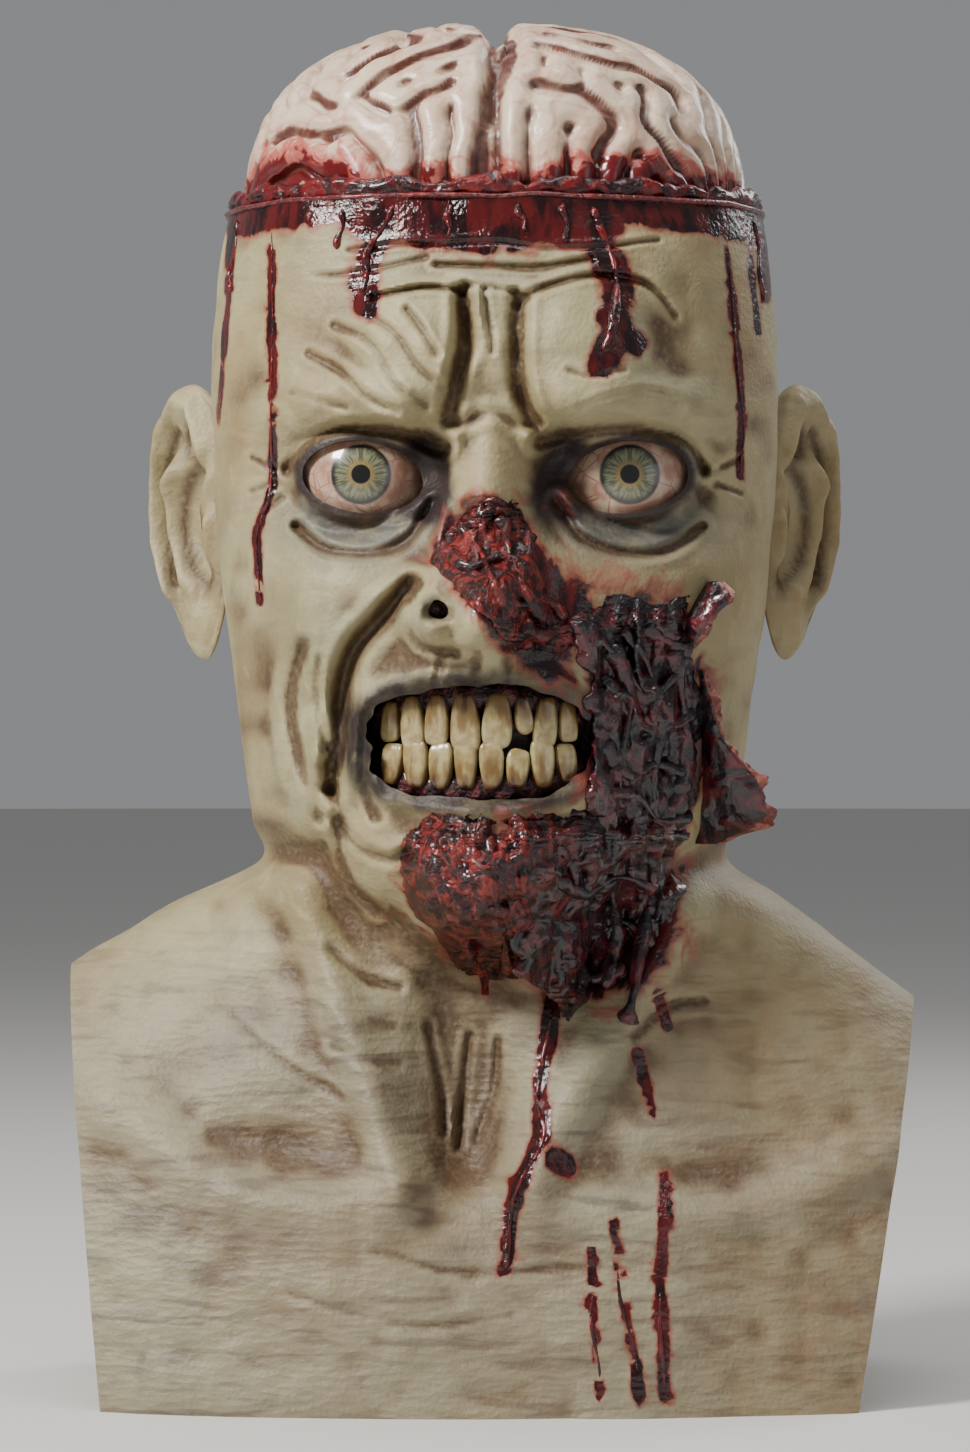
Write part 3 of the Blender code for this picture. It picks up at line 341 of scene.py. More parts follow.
def sections():
    """Heights with the half width, front, back and squareness of the smooth form, from its two tables."""
    rows = []
    for height, width, front, back, squareness in CHEST_SECTIONS:
        rows.append(
            (
                height * NECK_HEIGHT,
                (NECK_WIDTH + width * (CHEST_WIDTH - NECK_WIDTH)) / 2,
                NECK_FRONT + front * (CHEST_FRONT - NECK_FRONT),
                NECK_BACK + back * (CHEST_BACK - NECK_BACK),
                squareness,
            )
        )
    for height, width, front, back, squareness in HEAD_SECTIONS:
        rows.append(
            (
                NECK_HEIGHT + height * (RIM_HEIGHT - NECK_HEIGHT),
                (NECK_WIDTH + width * (HEAD_WIDTH - NECK_WIDTH)) / 2,
                NECK_FRONT + front * (HEAD_FRONT - NECK_FRONT),
                NECK_BACK + back * (HEAD_BACK - NECK_BACK),
                squareness,
            )
        )
    return np.array(rows).T


SECTION_HEIGHTS, HALF_WIDTHS, FRONTS, BACKS, SQUARENESSES = sections()


def form_at(z):
    """Half width, front and back of the smooth form at height z."""
    return tuple(smooth_through(SECTION_HEIGHTS, sizes, z) for sizes in (HALF_WIDTHS, FRONTS, BACKS))


def squareness_at(z):
    return smooth_through(SECTION_HEIGHTS, SQUARENESSES, z)


def hollow_at(z, inset):
    """Half width, front and back of the smooth form moved in by inset, square to its surface."""
    least = None
    for angle in np.radians((-80, -50, -20, 0, 20, 50, 80)):
        moved = [size - inset * np.cos(angle) for size in form_at(z + inset * np.sin(angle))]
        least = moved if least is None else [np.minimum(a, b) for a, b in zip(least, moved)]
    return least


def shoulder_drop(x, z):
    """How much lower the wearer's left shoulder hangs at (x, z); negative on the other side."""
    share = smooth_step(NECK_HEIGHT + 0.1 * FACE, NECK_HEIGHT - 0.2 * FACE, z)
    return SHOULDER_DROP * x / SHOULDER_HALF * share


def face_share(x, z):
    """Place on the face as (across, up) shares."""
    return x / HALF, (z - CHIN_HEIGHT) / FACE


def along_chain(across, up, points):
    """Distance on the face, in shares of half the head's width, from a chain of points."""
    scale = FACE / HALF
    nearest = np.full(np.shape(across), 9.0)
    for (x0, z0), (x1, z1) in zip(points, points[1:]):
        dx = x1 - x0
        dz = (z1 - z0) * scale
        px = across - x0
        pz = (up - z0) * scale
        t = np.clip((px * dx + pz * dz) / (dx * dx + dz * dz), 0, 1)
        nearest = np.minimum(nearest, np.hypot(px - t * dx, pz - t * dz))
    return nearest


def curved(points, cuts=5):
    """The chain with more points, on a smooth curve through it."""
    if len(points) < 3:
        return np.array(points, float)
    knots = np.linspace(0, 1, len(points))
    fine = np.linspace(0, 1, (len(points) - 1) * cuts + 1)
    return np.stack([smooth_through(knots, axis, fine) for axis in np.array(points, float).T], axis=-1)


def lattice(cells, seed):
    """A repeatable number from 0 to 1 for each whole cell."""
    n = cells[..., 0] * 73856093 ^ cells[..., 1] * 19349663 ^ cells[..., 2] * 83492791 ^ seed * 2654435761
    n = (n ^ (n >> 13)) * 1274126177 & 0x7FFFFFFF
    return ((n ^ (n >> 16)) & 0xFFFF) / 65535.0


def noise(points, size, seed=1, octaves=1):
    """Smooth noise from -1 to 1 at points, with features of about size metres."""
    total, weight, reach = 0.0, 0.0, 1.0
    for octave in range(octaves):
        p = points / (size * reach)
        cell = np.floor(p).astype(np.int64)
        f = p - cell
        f = f * f * (3 - 2 * f)
        value = 0.0
        for corner in range(8):
            shift = np.array([corner & 1, corner >> 1 & 1, corner >> 2 & 1])
            share = np.prod(np.where(shift == 1, f, 1 - f), axis=-1)
            value = value + share * lattice(cell + shift, seed + 17 * octave)
        total = total + (2 * value - 1) * reach
        weight += reach
        reach *= 0.5
    return total / weight


def mouth_span(across, up):
    """0 at the middle of the mouth, 1 at its edge."""
    dx = (across * HALF - MOUTH_ACROSS) / (MOUTH_WIDTH / 2)
    dz = (CHIN_HEIGHT + up * FACE - MOUTH_HEIGHT) / (MOUTH_OPEN / 2)
    return (np.abs(dx) ** 2.6 + np.abs(dz) ** 2.6) ** (1 / 2.6)


def jaw_rise(across, up):
    """How far the jaw stands out from the smooth form, as a share of the head's front."""
    ups, rises, widths = np.array(JAW).T
    level = up - JAW_LINE_LIFT * across**2 * smooth_step(0.30, 0.0, up)
    rise = smooth_through(ups, rises, level)
    width = smooth_through(ups, widths, level)
    return rise * np.exp(-((across / width) ** 2))


# Map of the face, from which every height and tint is read
MAP_STEP = 0.0006
MAP_X = np.arange(-0.210, 0.210, MAP_STEP)
MAP_Z = np.arange(-0.030, 0.440, MAP_STEP)


def on_map(grid, x, z):
    """Value of a map at (x, z), level beyond its edges."""
    column = np.clip((np.asarray(x, float) - MAP_X[0]) / MAP_STEP, 0, len(MAP_X) - 1.001)
    row = np.clip((np.asarray(z, float) - MAP_Z[0]) / MAP_STEP, 0, len(MAP_Z) - 1.001)
    i = column.astype(int)
    j = row.astype(int)
    u = column - i
    v = row - j
    low = grid[j, i] * (1 - u) + grid[j, i + 1] * u
    high = grid[j + 1, i] * (1 - u) + grid[j + 1, i + 1] * u
    return low * (1 - v) + high * v


def blurred(grid, size):
    """The map smoothed over about size metres."""
    down = np.fft.fftfreq(grid.shape[0], MAP_STEP)[:, None]
    along = np.fft.rfftfreq(grid.shape[1], MAP_STEP)[None, :]
    keep = np.exp(-2 * (math.pi * size) ** 2 * (down**2 + along**2))
    return np.fft.irfft2(np.fft.rfft2(grid) * keep, s=grid.shape)


def window(across, up, low, high):
    """Part of the map between two corners in face shares."""
    columns = np.searchsorted(across[0], (low[0], high[0]))
    rows = np.searchsorted(up[:, 0], (low[1], high[1]))
    return slice(*rows), slice(*columns)


def relief_map():
    """How far the face stands out from the smooth form over the whole map, in metres."""
    x, z = np.meshgrid(MAP_X, MAP_Z)
    plain_across, plain_up = face_share(x, z)
    spots = np.stack((x, 0 * x, z), axis=-1)
    across = plain_across + 0.010 * noise(spots, 0.018, 3)
    up = plain_up + 0.004 * noise(spots, 0.018, 5)
    broken = noise(spots, 0.016, 19, 2)
    total = jaw_rise(plain_across, plain_up)
    ups, rises, widths = np.array(NOSE).T
    nose_width = smooth_through(ups, widths, up)
    total += smooth_through(ups, rises, up) * np.exp(-(((across - NOSE_ACROSS) / nose_width) ** 2))
    for c_across, c_up, width, height, rise, edge in SWELLINGS:
        low = (c_across - 3 * width, c_up - 3 * height)
        high = (c_across + 3 * width, c_up + 3 * height)
        part = window(plain_across, plain_up, low, high)
        reach = ((across[part] - c_across) / width) ** 2 + ((up[part] - c_up) / height) ** 2
        total[part] += rise * np.exp(-(reach**edge))
    for width, rise, points in FOLDS:
        corners = np.array(points)
        low = corners.min(axis=0) - (3 * width + 0.02, (3 * width + 0.02) * HALF / FACE)
        high = corners.max(axis=0) + (3 * width + 0.02, (3 * width + 0.02) * HALF / FACE)
        part = window(plain_across, plain_up, low, high)
        away = along_chain(across[part], up[part], curved(points)) / width
        strength = np.clip(0.85 + 0.8 * broken[part], 0.15, 1.3) if width < 0.03 else 1.0
        puffed = 0.42 * np.exp(-(((away - 1.9) / 0.95) ** 2)) if rise < 0 and width < 0.04 else 0.0
        total[part] += strength * rise * (np.exp(-(away**2)) - puffed)
    lip = (mouth_span(across, up) - 1 - LIP_SPREAD) / LIP_SPREAD
    total += LIP_RISE * np.exp(-(lip**2)) * (1 + 0.30 * noise(spots, 0.005, 7))
    rough = 0.0012 * noise(spots, 0.022, 11) + 0.0007 * noise(spots, 0.008, 13)
    return total * HEAD_FRONT + rough


RELIEF = relief_map()
# Depth of the fine and the wide hollows, from which the painted shade of the skin is read
FINE_HOLLOWS = blurred(RELIEF, 0.0030) - RELIEF
WIDE_HOLLOWS = blurred(RELIEF, 0.0090) - RELIEF


def relief(x, z):
    """How far the face stands out from the smooth form, in metres."""
    return on_map(RELIEF, x, z)


def eye_centres():
    """Centres of the viewer's left and right eyeball."""
    return [Vector((side * EYE_SPACING / 2, EYE_FRONT + EYE_RADIUS, EYE_HEIGHT)) for side in (-1, 1)]


def nearer(a, b, blend):
    """Smooth minimum: whichever surface is further forward, with a soft join."""
    h = np.clip(0.5 + (b - a) / (2 * blend), 0, 1)
    return b + (a - b) * h - blend * h * (1 - h)


def face_y(x, z, smooth_y):
    """Y of the sculpted face where the smooth form is at smooth_y."""
    y = smooth_y - relief(x, z)
    for centre in eye_centres():
        off = np.hypot(x - centre.x, z - centre.z)
        radius = EYE_RADIUS + LID
        dome = centre.y - np.sqrt(np.maximum(radius**2 - off**2, 0))
        lidded = nearer(y, dome, 0.0025)
        y = y + (lidded - y) * smooth_step(radius, radius * 0.85, off)
    return y


def smooth_front(x, z):
    """Y of the smooth form's front at (x, z)."""
    level = z + shoulder_drop(x, z)
    half, front, _ = form_at(level)
    squareness = squareness_at(level)
    inside = np.maximum(1 - np.abs(x / half) ** squareness, 0)
    return -front * inside ** (1 / squareness)


def skin_y(x, z):
    """Y of the skin's front at (x, z)."""
    return face_y(x, z, smooth_front(x, z))


def muzzle_y(x, z):
    """Y of the plain muzzle under lips and folds at (x, z)."""
    return smooth_front(x, z) - jaw_rise(*face_share(x, z)) * HEAD_FRONT


def superellipse(turn, half, front, back, squareness):
    """Point of a section at an angle from straight ahead, with its weight towards the front."""
    c, s = np.cos(turn), np.sin(turn)
    power = 2 / squareness
    x = np.sign(s) * np.abs(s) ** power * half
    y = -np.sign(c) * np.abs(c) ** power * np.where(c > 0, front, back)
    return x, y, smooth_step(0.0, 0.35, c)


def column_turn(share, crowding):
    """Angle of a column: a crowding over 0 packs the columns towards the front."""
    turn = 2 * math.pi * share
    return turn + crowding * np.sin(turn) - math.pi


def cavity_point(turn, z):
    """Point of the hollow: the smooth form less the wall, filled in behind the nose, lips and tears."""
    z_form = np.minimum(z, RIM_HEIGHT)
    squareness = squareness_at(z_form)
    x, y, weight = superellipse(turn, *hollow_at(z_form, WALL), squareness)
    xo, yo, _ = superellipse(turn, *form_at(z_form), squareness)
    reach = 0.008
    least = None
    for step_x in (-reach, -reach / 2, 0, reach / 2, reach):
        for step_z in (-reach, -reach / 2, 0, reach / 2, reach):
            xs, zs = xo + step_x, z_form + step_z
            out = yo - face_y(xs, zs, yo)
            in_mouth = mouth_span(*face_share(xs, zs)) < 1.1
            floor = yo - muzzle_y(xs, MOUTH_HEIGHT + 0 * xs) - MOUTH_DEEP
            out = np.where(in_mouth, np.minimum(out, floor), out)
            least = out if least is None else np.minimum(least, out)
    return x, y - least * weight, z - shoulder_drop(x, z)


def finish(bm, name, hidden=False):
    """Makes the bmesh a smooth-shaded object with its faces pointing out."""
    bmesh.ops.recalc_face_normals(bm, faces=bm.faces)
    closed = not any(edge.is_boundary for edge in bm.edges)
    if closed and bm.calc_volume(signed=True) < 0:
        bmesh.ops.reverse_faces(bm, faces=bm.faces)
    for face in bm.faces:
        face.smooth = True
    mesh = bpy.data.meshes.new(name)
    bm.to_mesh(mesh)
    bm.free()
    piece = bpy.data.objects.new(name, mesh)
    if not hidden:
        bpy.context.scene.collection.objects.link(piece)
    return piece


def warped_grid(columns, rows, place):
    """A grid whose columns and rows, as shares 0 to 1, are moved to place(column, row)."""
    bm = bmesh.new()
    bmesh.ops.create_grid(bm, x_segments=columns, y_segments=rows, size=1.0)
    spots = np.array([vert.co for vert in bm.verts])
    x, y, z = np.broadcast_arrays(*place((spots[:, 0] + 1) / 2, (spots[:, 1] + 1) / 2))
    for vert, point in zip(bm.verts, zip(x.tolist(), y.tolist(), z.tolist())):
        vert.co = point
    bmesh.ops.remove_doubles(bm, verts=bm.verts, dist=1e-6)
    return bm


def close_ends(bm):
    """Caps every open end with a fan of triangles."""
    caps = bmesh.ops.holes_fill(bm, edges=[edge for edge in bm.edges if edge.is_boundary])["faces"]
    bmesh.ops.poke(bm, faces=caps)


def gathered(parts):
    """One bmesh from several, which it frees."""
    whole = bmesh.new()
    for part in parts:
        mesh = bpy.data.meshes.new("part")
        part.to_mesh(mesh)
        part.free()
        whole.from_mesh(mesh)
        bpy.data.meshes.remove(mesh)
    return whole


def settle(piece):
    """Applies the piece's modifiers to its mesh."""
    shown = bpy.context.scene.collection.objects
    if piece.name not in shown:
        shown.link(piece)
    graph = bpy.context.evaluated_depsgraph_get()
    mesh = bpy.data.meshes.new_from_object(piece.evaluated_get(graph))
    piece.modifiers.clear()
    piece.data = mesh


def thin(piece, faces):
    """Thins the mesh to about so many triangles, keeping them where the surface turns."""
    made = sum(len(face.vertices) - 2 for face in piece.data.polygons)
    modifier = piece.modifiers.new("thin", "DECIMATE")
    modifier.ratio = min(1.0, faces / made)
    settle(piece)


def combine(piece, other, operation="DIFFERENCE"):
    """Cuts the piece with the other, or joins them, and drops the other. New faces keep its material."""
    modifier = piece.modifiers.new("cut", "BOOLEAN")
    modifier.object = other
    modifier.operation = operation
    modifier.solver = "MANIFOLD"
    modifier.material_mode = "TRANSFER"
    shown = bpy.context.scene.collection.objects
    if other.name not in shown:
        shown.link(other)
    settle(piece)
    bpy.data.objects.remove(other)


def box(name, low, high):
    """Cutter with corners low and high."""
    bm = bmesh.new()
    bmesh.ops.create_cube(bm, size=1.0)
    size = Vector(high) - Vector(low)
    middle = (Vector(high) + Vector(low)) / 2
    bmesh.ops.scale(bm, vec=size, verts=bm.verts)
    bmesh.ops.translate(bm, vec=middle, verts=bm.verts)
    return finish(bm, name, hidden=True)


def points_of(piece):
    """The mesh's vertices as an array."""
    flat = np.empty(3 * len(piece.data.vertices))
    piece.data.vertices.foreach_get("co", flat)
    return flat.reshape(-1, 3)


def tint(piece, name, values):
    """Stores one number per vertex for the materials to read."""
    layer = piece.data.attributes.new(name, "FLOAT", "POINT")
    numbers = np.broadcast_to(values, len(piece.data.vertices))
    layer.data.foreach_set("value", np.ascontiguousarray(numbers, np.float32))


# Materials


def new_material(name):
    material = bpy.data.materials.new(name)
    material.use_nodes = True
    return material, material.node_tree, material.node_tree.nodes["Principled BSDF"]


def wire(tree, source, target):
    """Links a socket to an input, or sets the input's value."""
    if isinstance(source, bpy.types.NodeSocket):
        tree.links.new(source, target)
    else:
        target.default_value = source


def reading(tree, name):
    """Number stored on the mesh under a name."""
    node = tree.nodes.new("ShaderNodeAttribute")
    node.attribute_name = name
    return node.outputs["Fac"]


def place_on_object(tree, stretch=(1, 1, 1)):
    """Object coordinates, stretched."""
    coords = tree.nodes.new("ShaderNodeTexCoord")
    mapping = tree.nodes.new("ShaderNodeMapping")
    tree.links.new(coords.outputs["Object"], mapping.inputs["Vector"])
    mapping.inputs["Scale"].default_value = stretch
    return mapping.outputs["Vector"]


def grain(tree, size, detail=4.0, stretch=(1, 1, 1), warp=0.0):
    """Noise from 0 to 1 with features of about size metres."""
    node = tree.nodes.new("ShaderNodeTexNoise")
    node.inputs["Scale"].default_value = 1 / size
    node.inputs["Detail"].default_value = detail
    node.inputs["Distortion"].default_value = warp
    tree.links.new(place_on_object(tree, stretch), node.inputs["Vector"])
    return node.outputs["Fac"]


def cells(tree, size, stretch=(1, 1, 1), feature="F1"):
    """Distance within cells of about size metres."""
    node = tree.nodes.new("ShaderNodeTexVoronoi")
    node.feature = feature
    node.inputs["Scale"].default_value = 1 / size
    tree.links.new(place_on_object(tree, stretch), node.inputs["Vector"])
    return node.outputs["Distance"]


def span(tree, value, low, high, to_low=0.0, to_high=1.0):
    """The value stretched from low..high to to_low..to_high, with smooth ends."""
    node = tree.nodes.new("ShaderNodeMapRange")
    node.interpolation_type = "SMOOTHSTEP"
    wire(tree, value, node.inputs["Value"])
    for socket, number in (("From Min", low), ("From Max", high), ("To Min", to_low), ("To Max", to_high)):
        node.inputs[socket].default_value = number
    return node.outputs["Result"]


def sums(tree, kind, a, b):
    """A sum of two numbers: ADD, MULTIPLY, SUBTRACT, MAXIMUM or MINIMUM."""
    node = tree.nodes.new("ShaderNodeMath")
    node.operation = kind
    wire(tree, a, node.inputs[0])
    wire(tree, b, node.inputs[1])
    return node.outputs["Value"]


def layered(tree, under, over, share, blend="MIX"):
    """A colour laid over another by a share."""
    node = tree.nodes.new("ShaderNodeMix")
    node.data_type = "RGBA"
    node.blend_type = blend
    wire(tree, share, node.inputs[0])
    wire(tree, under, node.inputs[6])
    wire(tree, over, node.inputs[7])
    return node.outputs[2]


def bumped(tree, height, distance, strength=1.0, under=None):
    """Normal raised by a height of 0 to 1 over a distance in metres."""
    node = tree.nodes.new("ShaderNodeBump")
    node.inputs["Strength"].default_value = strength
    node.inputs["Distance"].default_value = distance
    wire(tree, height, node.inputs["Height"])
    if under is not None:
        tree.links.new(under, node.inputs["Normal"])
    return node.outputs["Normal"]


def painted_latex():
    """Cream latex, washed with brown and painted with shade in its hollows, near-black on the lips and
    painted shade round the eyes, nose and mouth, with a yellow-brown tint that also paints shade, grey and
    blood over it.
    """
    material, tree, shader = new_material("painted_latex")
    broad = grain(tree, 0.045, 5.0)
    mottled = grain(tree, 0.011, 6.0, warp=0.6)
    specks = grain(tree, 0.0022, 3.0)
    streaks = grain(tree, 0.006, 5.0, stretch=(1, 1, 0.25))
    skin = layered(tree, (0.400, 0.370, 0.205, 1), (0.270, 0.235, 0.115, 1), span(tree, broad, 0.35, 0.68))
    skin = layered(tree, skin, (0.520, 0.490, 0.300, 1), span(tree, mottled, 0.50, 0.72, 0.0, 0.50))
    skin = layered(tree, skin, (0.200, 0.140, 0.060, 1), span(tree, mottled, 0.47, 0.28, 0.0, 0.40))
    skin = layered(tree, skin, (0.235, 0.205, 0.150, 1), sums(tree, "MULTIPLY", reading(tree, "dry"), 0.55))
    bands = grain(tree, 0.010, 6.0, stretch=(0.30, 0.30, 1.6), warp=0.8)
    worn = sums(tree, "MULTIPLY", reading(tree, "dry"), span(tree, bands, 0.48, 0.70))
    skin = layered(tree, skin, (0.110, 0.080, 0.055, 1), sums(tree, "MULTIPLY", worn, 0.75))
    # Yellow-brown tint at random, with painted shade where it is strong: in the wide hollows and towards +X
    ochre_and_shade = sums(tree, "MULTIPLY", reading(tree, "ochre_and_shade"), span(tree, mottled, 0.30, 0.62, 0.35, 1.0))
    skin = layered(tree, skin, (0.260, 0.135, 0.040, 1), ochre_and_shade)
    bag = sums(tree, "MULTIPLY", reading(tree, "bag"), span(tree, mottled, 0.25, 0.60, 0.5, 1.0))
    skin = layered(tree, skin, (0.085, 0.095, 0.095, 1), bag)
    bruise = sums(tree, "MULTIPLY", reading(tree, "bruise"), span(tree, streaks, 0.36, 0.62, 0.2, 1.0))
    skin = layered(tree, skin, (0.085, 0.055, 0.050, 1), bruise)
    # Brown washed into the hollows and the folds of the ears, which is painted shade as well as paint
    wash_and_shade = sums(tree, "MULTIPLY", reading(tree, "wash_and_shade"), span(tree, specks, 0.20, 0.60, 0.65, 1.0))
    skin = layered(tree, skin, (0.075, 0.040, 0.018, 1), wash_and_shade)
    # Near-black over the lips, with painted shade at the lid rims, in the eye sockets, beside and under the
    # nose and round the mouth
    dark = sums(tree, "ADD", reading(tree, "dark"), span(tree, mottled, 0.30, 0.70, -0.12, 0.12))
    skin = layered(tree, skin, (0.018, 0.009, 0.008, 1), span(tree, dark, 0.15, 0.85))
    stain = sums(tree, "ADD", reading(tree, "blood"), span(tree, mottled, 0.30, 0.70, -0.22, 0.22))
    shine = span(tree, stain, 0.42, 0.62)
    blood = layered(tree, (0.075, 0.006, 0.006, 1), (0.012, 0.002, 0.003, 1), span(tree, streaks, 0.40, 0.60))
    skin = layered(tree, skin, (0.230, 0.040, 0.025, 1), span(tree, stain, 0.18, 0.50, 0.0, 0.75))
    skin = layered(tree, skin, blood, shine)
    wire(tree, skin, shader.inputs["Base Color"])
    shader.inputs["Subsurface Weight"].default_value = 0.12
    shader.inputs["Subsurface Radius"].default_value = (0.9, 0.5, 0.3)
    shader.inputs["Subsurface Scale"].default_value = 0.003
    wire(tree, span(tree, shine, 0.0, 1.0, 0.55, 0.12), shader.inputs["Roughness"])
    creases = cells(tree, 0.0042, stretch=(0.55, 0.55, 1.8))
    dry = bumped(tree, sums(tree, "MULTIPLY", creases, reading(tree, "dry")), 0.0012, 0.35)
    pores = bumped(tree, grain(tree, 0.0016, 4.0), 0.0005, 0.7, under=dry)
    wire(tree, bumped(tree, mottled, 0.0012, 0.5, under=pores), shader.inputs["Normal"])
    return material


def plain_latex():
    """Unpainted latex of the inside and of the cut edges."""
    material, tree, shader = new_material("plain_latex")
    cloudy = grain(tree, 0.030, 4.0)
    colour = layered(tree, (0.620, 0.560, 0.420, 1), (0.520, 0.450, 0.310, 1), span(tree, cloudy, 0.35, 0.65))
    wire(tree, colour, shader.inputs["Base Color"])
    shader.inputs["Roughness"].default_value = 0.55
    wire(tree, bumped(tree, grain(tree, 0.004, 5.0), 0.0008, 0.5), shader.inputs["Normal"])
    return material


def brain_latex():
    """Pink-cream latex with dark grooves, dark with paint and painted shade, thin red veins and patches of
    blood.
    """
    material, tree, shader = new_material("brain_latex")
    cloudy = grain(tree, 0.022, 5.0)
    mottled = grain(tree, 0.007, 6.0, warp=0.8)
    veins = cells(tree, 0.013, feature="DISTANCE_TO_EDGE")
    flesh = layered(tree, (0.640, 0.500, 0.370, 1), (0.560, 0.380, 0.270, 1), span(tree, cloudy, 0.38, 0.66))
    flesh = layered(tree, flesh, (0.700, 0.600, 0.470, 1), span(tree, mottled, 0.50, 0.70, 0.0, 0.6))
    thread = span(tree, sums(tree, "ADD", veins, span(tree, mottled, 0.3, 0.7, -0.05, 0.05)), 0.05, 0.0)
    flesh = layered(tree, flesh, (0.420, 0.110, 0.090, 1), sums(tree, "MULTIPLY", thread, 0.30))
    stain = sums(tree, "ADD", reading(tree, "blood"), span(tree, mottled, 0.30, 0.70, -0.25, 0.25))
    flesh = layered(tree, flesh, (0.400, 0.040, 0.030, 1), span(tree, stain, 0.25, 0.60, 0.0, 0.85))
    shine = span(tree, stain, 0.62, 0.85)
    flesh = layered(tree, flesh, (0.110, 0.006, 0.008, 1), shine)
    # Near-black in the grooves and the middle fissure: their dark paint together with painted shade
    groove = sums(tree, "MULTIPLY", reading(tree, "groove"), span(tree, mottled, 0.25, 0.60, 0.75, 1.0))
    flesh = layered(tree, flesh, (0.085, 0.022, 0.014, 1), groove)
    wire(tree, flesh, shader.inputs["Base Color"])
    shader.inputs["Subsurface Weight"].default_value = 0.20
    shader.inputs["Subsurface Radius"].default_value = (1.0, 0.4, 0.3)
    shader.inputs["Subsurface Scale"].default_value = 0.003
    wire(tree, span(tree, shine, 0.0, 1.0, 0.40, 0.14), shader.inputs["Roughness"])
    shader.inputs["Coat Weight"].default_value = 0.25
    shader.inputs["Coat Roughness"].default_value = 0.22
    wire(tree, bumped(tree, mottled, 0.0014, 0.5), shader.inputs["Normal"])
    return material


def wet_material(name, light, deep, rough=0.20, size=0.006, coat=0.8):
    """Wet tissue or gel between two colours."""
    material, tree, shader = new_material(name)
    mottled = grain(tree, size, 6.0, warp=1.0)
    fine = grain(tree, size * 0.3, 4.0)
    colour = layered(tree, deep, light, span(tree, mottled, 0.42, 0.66))
    wire(tree, colour, shader.inputs["Base Color"])
    shader.inputs["Roughness"].default_value = rough
    shader.inputs["Coat Weight"].default_value = coat * 0.45
    shader.inputs["Coat Roughness"].default_value = 0.08
    shader.inputs["Specular IOR Level"].default_value = 0.35
    lumpy = bumped(tree, mottled, 0.0034, 0.9)
    wire(tree, bumped(tree, fine, 0.0012, 0.8, under=lumpy), shader.inputs["Normal"])
    return material


def eye_gloss():
    """Painted eyeball under gloss: pupil, grey-green iris with a dark rim, and a bloodshot white."""
    material, tree, shader = new_material("eye_acrylic")
    out = reading(tree, "from_pupil")
    turned = reading(tree, "around_pupil")
    rays = tree.nodes.new("ShaderNodeTexNoise")
    rays.noise_dimensions = "2D"
    rays.inputs["Scale"].default_value = 1.0
    rays.inputs["Detail"].default_value = 3.0
    place = tree.nodes.new("ShaderNodeCombineXYZ")
    wire(tree, sums(tree, "MULTIPLY", turned, 9.0), place.inputs["X"])
    wire(tree, sums(tree, "MULTIPLY", out, 2.5), place.inputs["Y"])
    tree.links.new(place.outputs["Vector"], rays.inputs["Vector"])
    fibres = rays.outputs["Fac"]
    mottled = grain(tree, 0.006, 5.0)
    veins = cells(tree, 0.0055, feature="DISTANCE_TO_EDGE")
    white = layered(tree, (0.480, 0.360, 0.260, 1), (0.340, 0.170, 0.120, 1), span(tree, mottled, 0.35, 0.65))
    thread = span(tree, sums(tree, "ADD", veins, span(tree, mottled, 0.3, 0.7, -0.04, 0.04)), 0.035, 0.0)
    white = layered(tree, white, (0.300, 0.030, 0.020, 1), sums(tree, "MULTIPLY", thread, 0.55))
    iris = layered(tree, (0.070, 0.080, 0.050, 1), (0.190, 0.190, 0.110, 1), span(tree, fibres, 0.40, 0.62))
    amber = sums(tree, "MULTIPLY", span(tree, out, 0.62, 0.34), 0.55)
    iris = layered(tree, iris, (0.330, 0.210, 0.060, 1), amber)
    iris = layered(tree, iris, (0.012, 0.012, 0.010, 1), span(tree, out, 0.78, 1.0))
    iris = layered(tree, iris, (0.003, 0.003, 0.003, 1), span(tree, out, 0.36, 0.31))
    colour = layered(tree, white, iris, span(tree, out, 1.10, 0.99))
    wire(tree, colour, shader.inputs["Base Color"])
    shader.inputs["Roughness"].default_value = 0.25
    shader.inputs["Coat Weight"].default_value = 1.0
    shader.inputs["Coat Roughness"].default_value = 0.02
    return material


def tooth_resin():
    """Ivory tooth, brown at its root and along its cracks."""
    material, tree, shader = new_material("tooth_resin")
    streaks = grain(tree, 0.0035, 5.0, stretch=(1, 1, 0.3))
    mottled = grain(tree, 0.004, 5.0)
    root = sums(tree, "ADD", reading(tree, "to_root"), span(tree, streaks, 0.3, 0.7, -0.25, 0.25))
    mottling = span(tree, mottled, 0.40, 0.65)
    colour = layered(tree, (0.400, 0.330, 0.160, 1), (0.280, 0.200, 0.075, 1), mottling)
    colour = layered(tree, colour, (0.150, 0.080, 0.022, 1), span(tree, root, 0.25, 0.75, 0.0, 0.90))
    colour = layered(tree, colour, (0.050, 0.018, 0.010, 1), span(tree, root, 0.78, 1.05))
    wire(tree, colour, shader.inputs["Base Color"])
    shader.inputs["Roughness"].default_value = 0.28
    shader.inputs["Coat Weight"].default_value = 0.6
    shader.inputs["Coat Roughness"].default_value = 0.10
    shader.inputs["Subsurface Weight"].default_value = 0.10
    shader.inputs["Subsurface Scale"].default_value = 0.002
    wire(tree, bumped(tree, streaks, 0.0008, 0.6), shader.inputs["Normal"])
    return material


# Skin

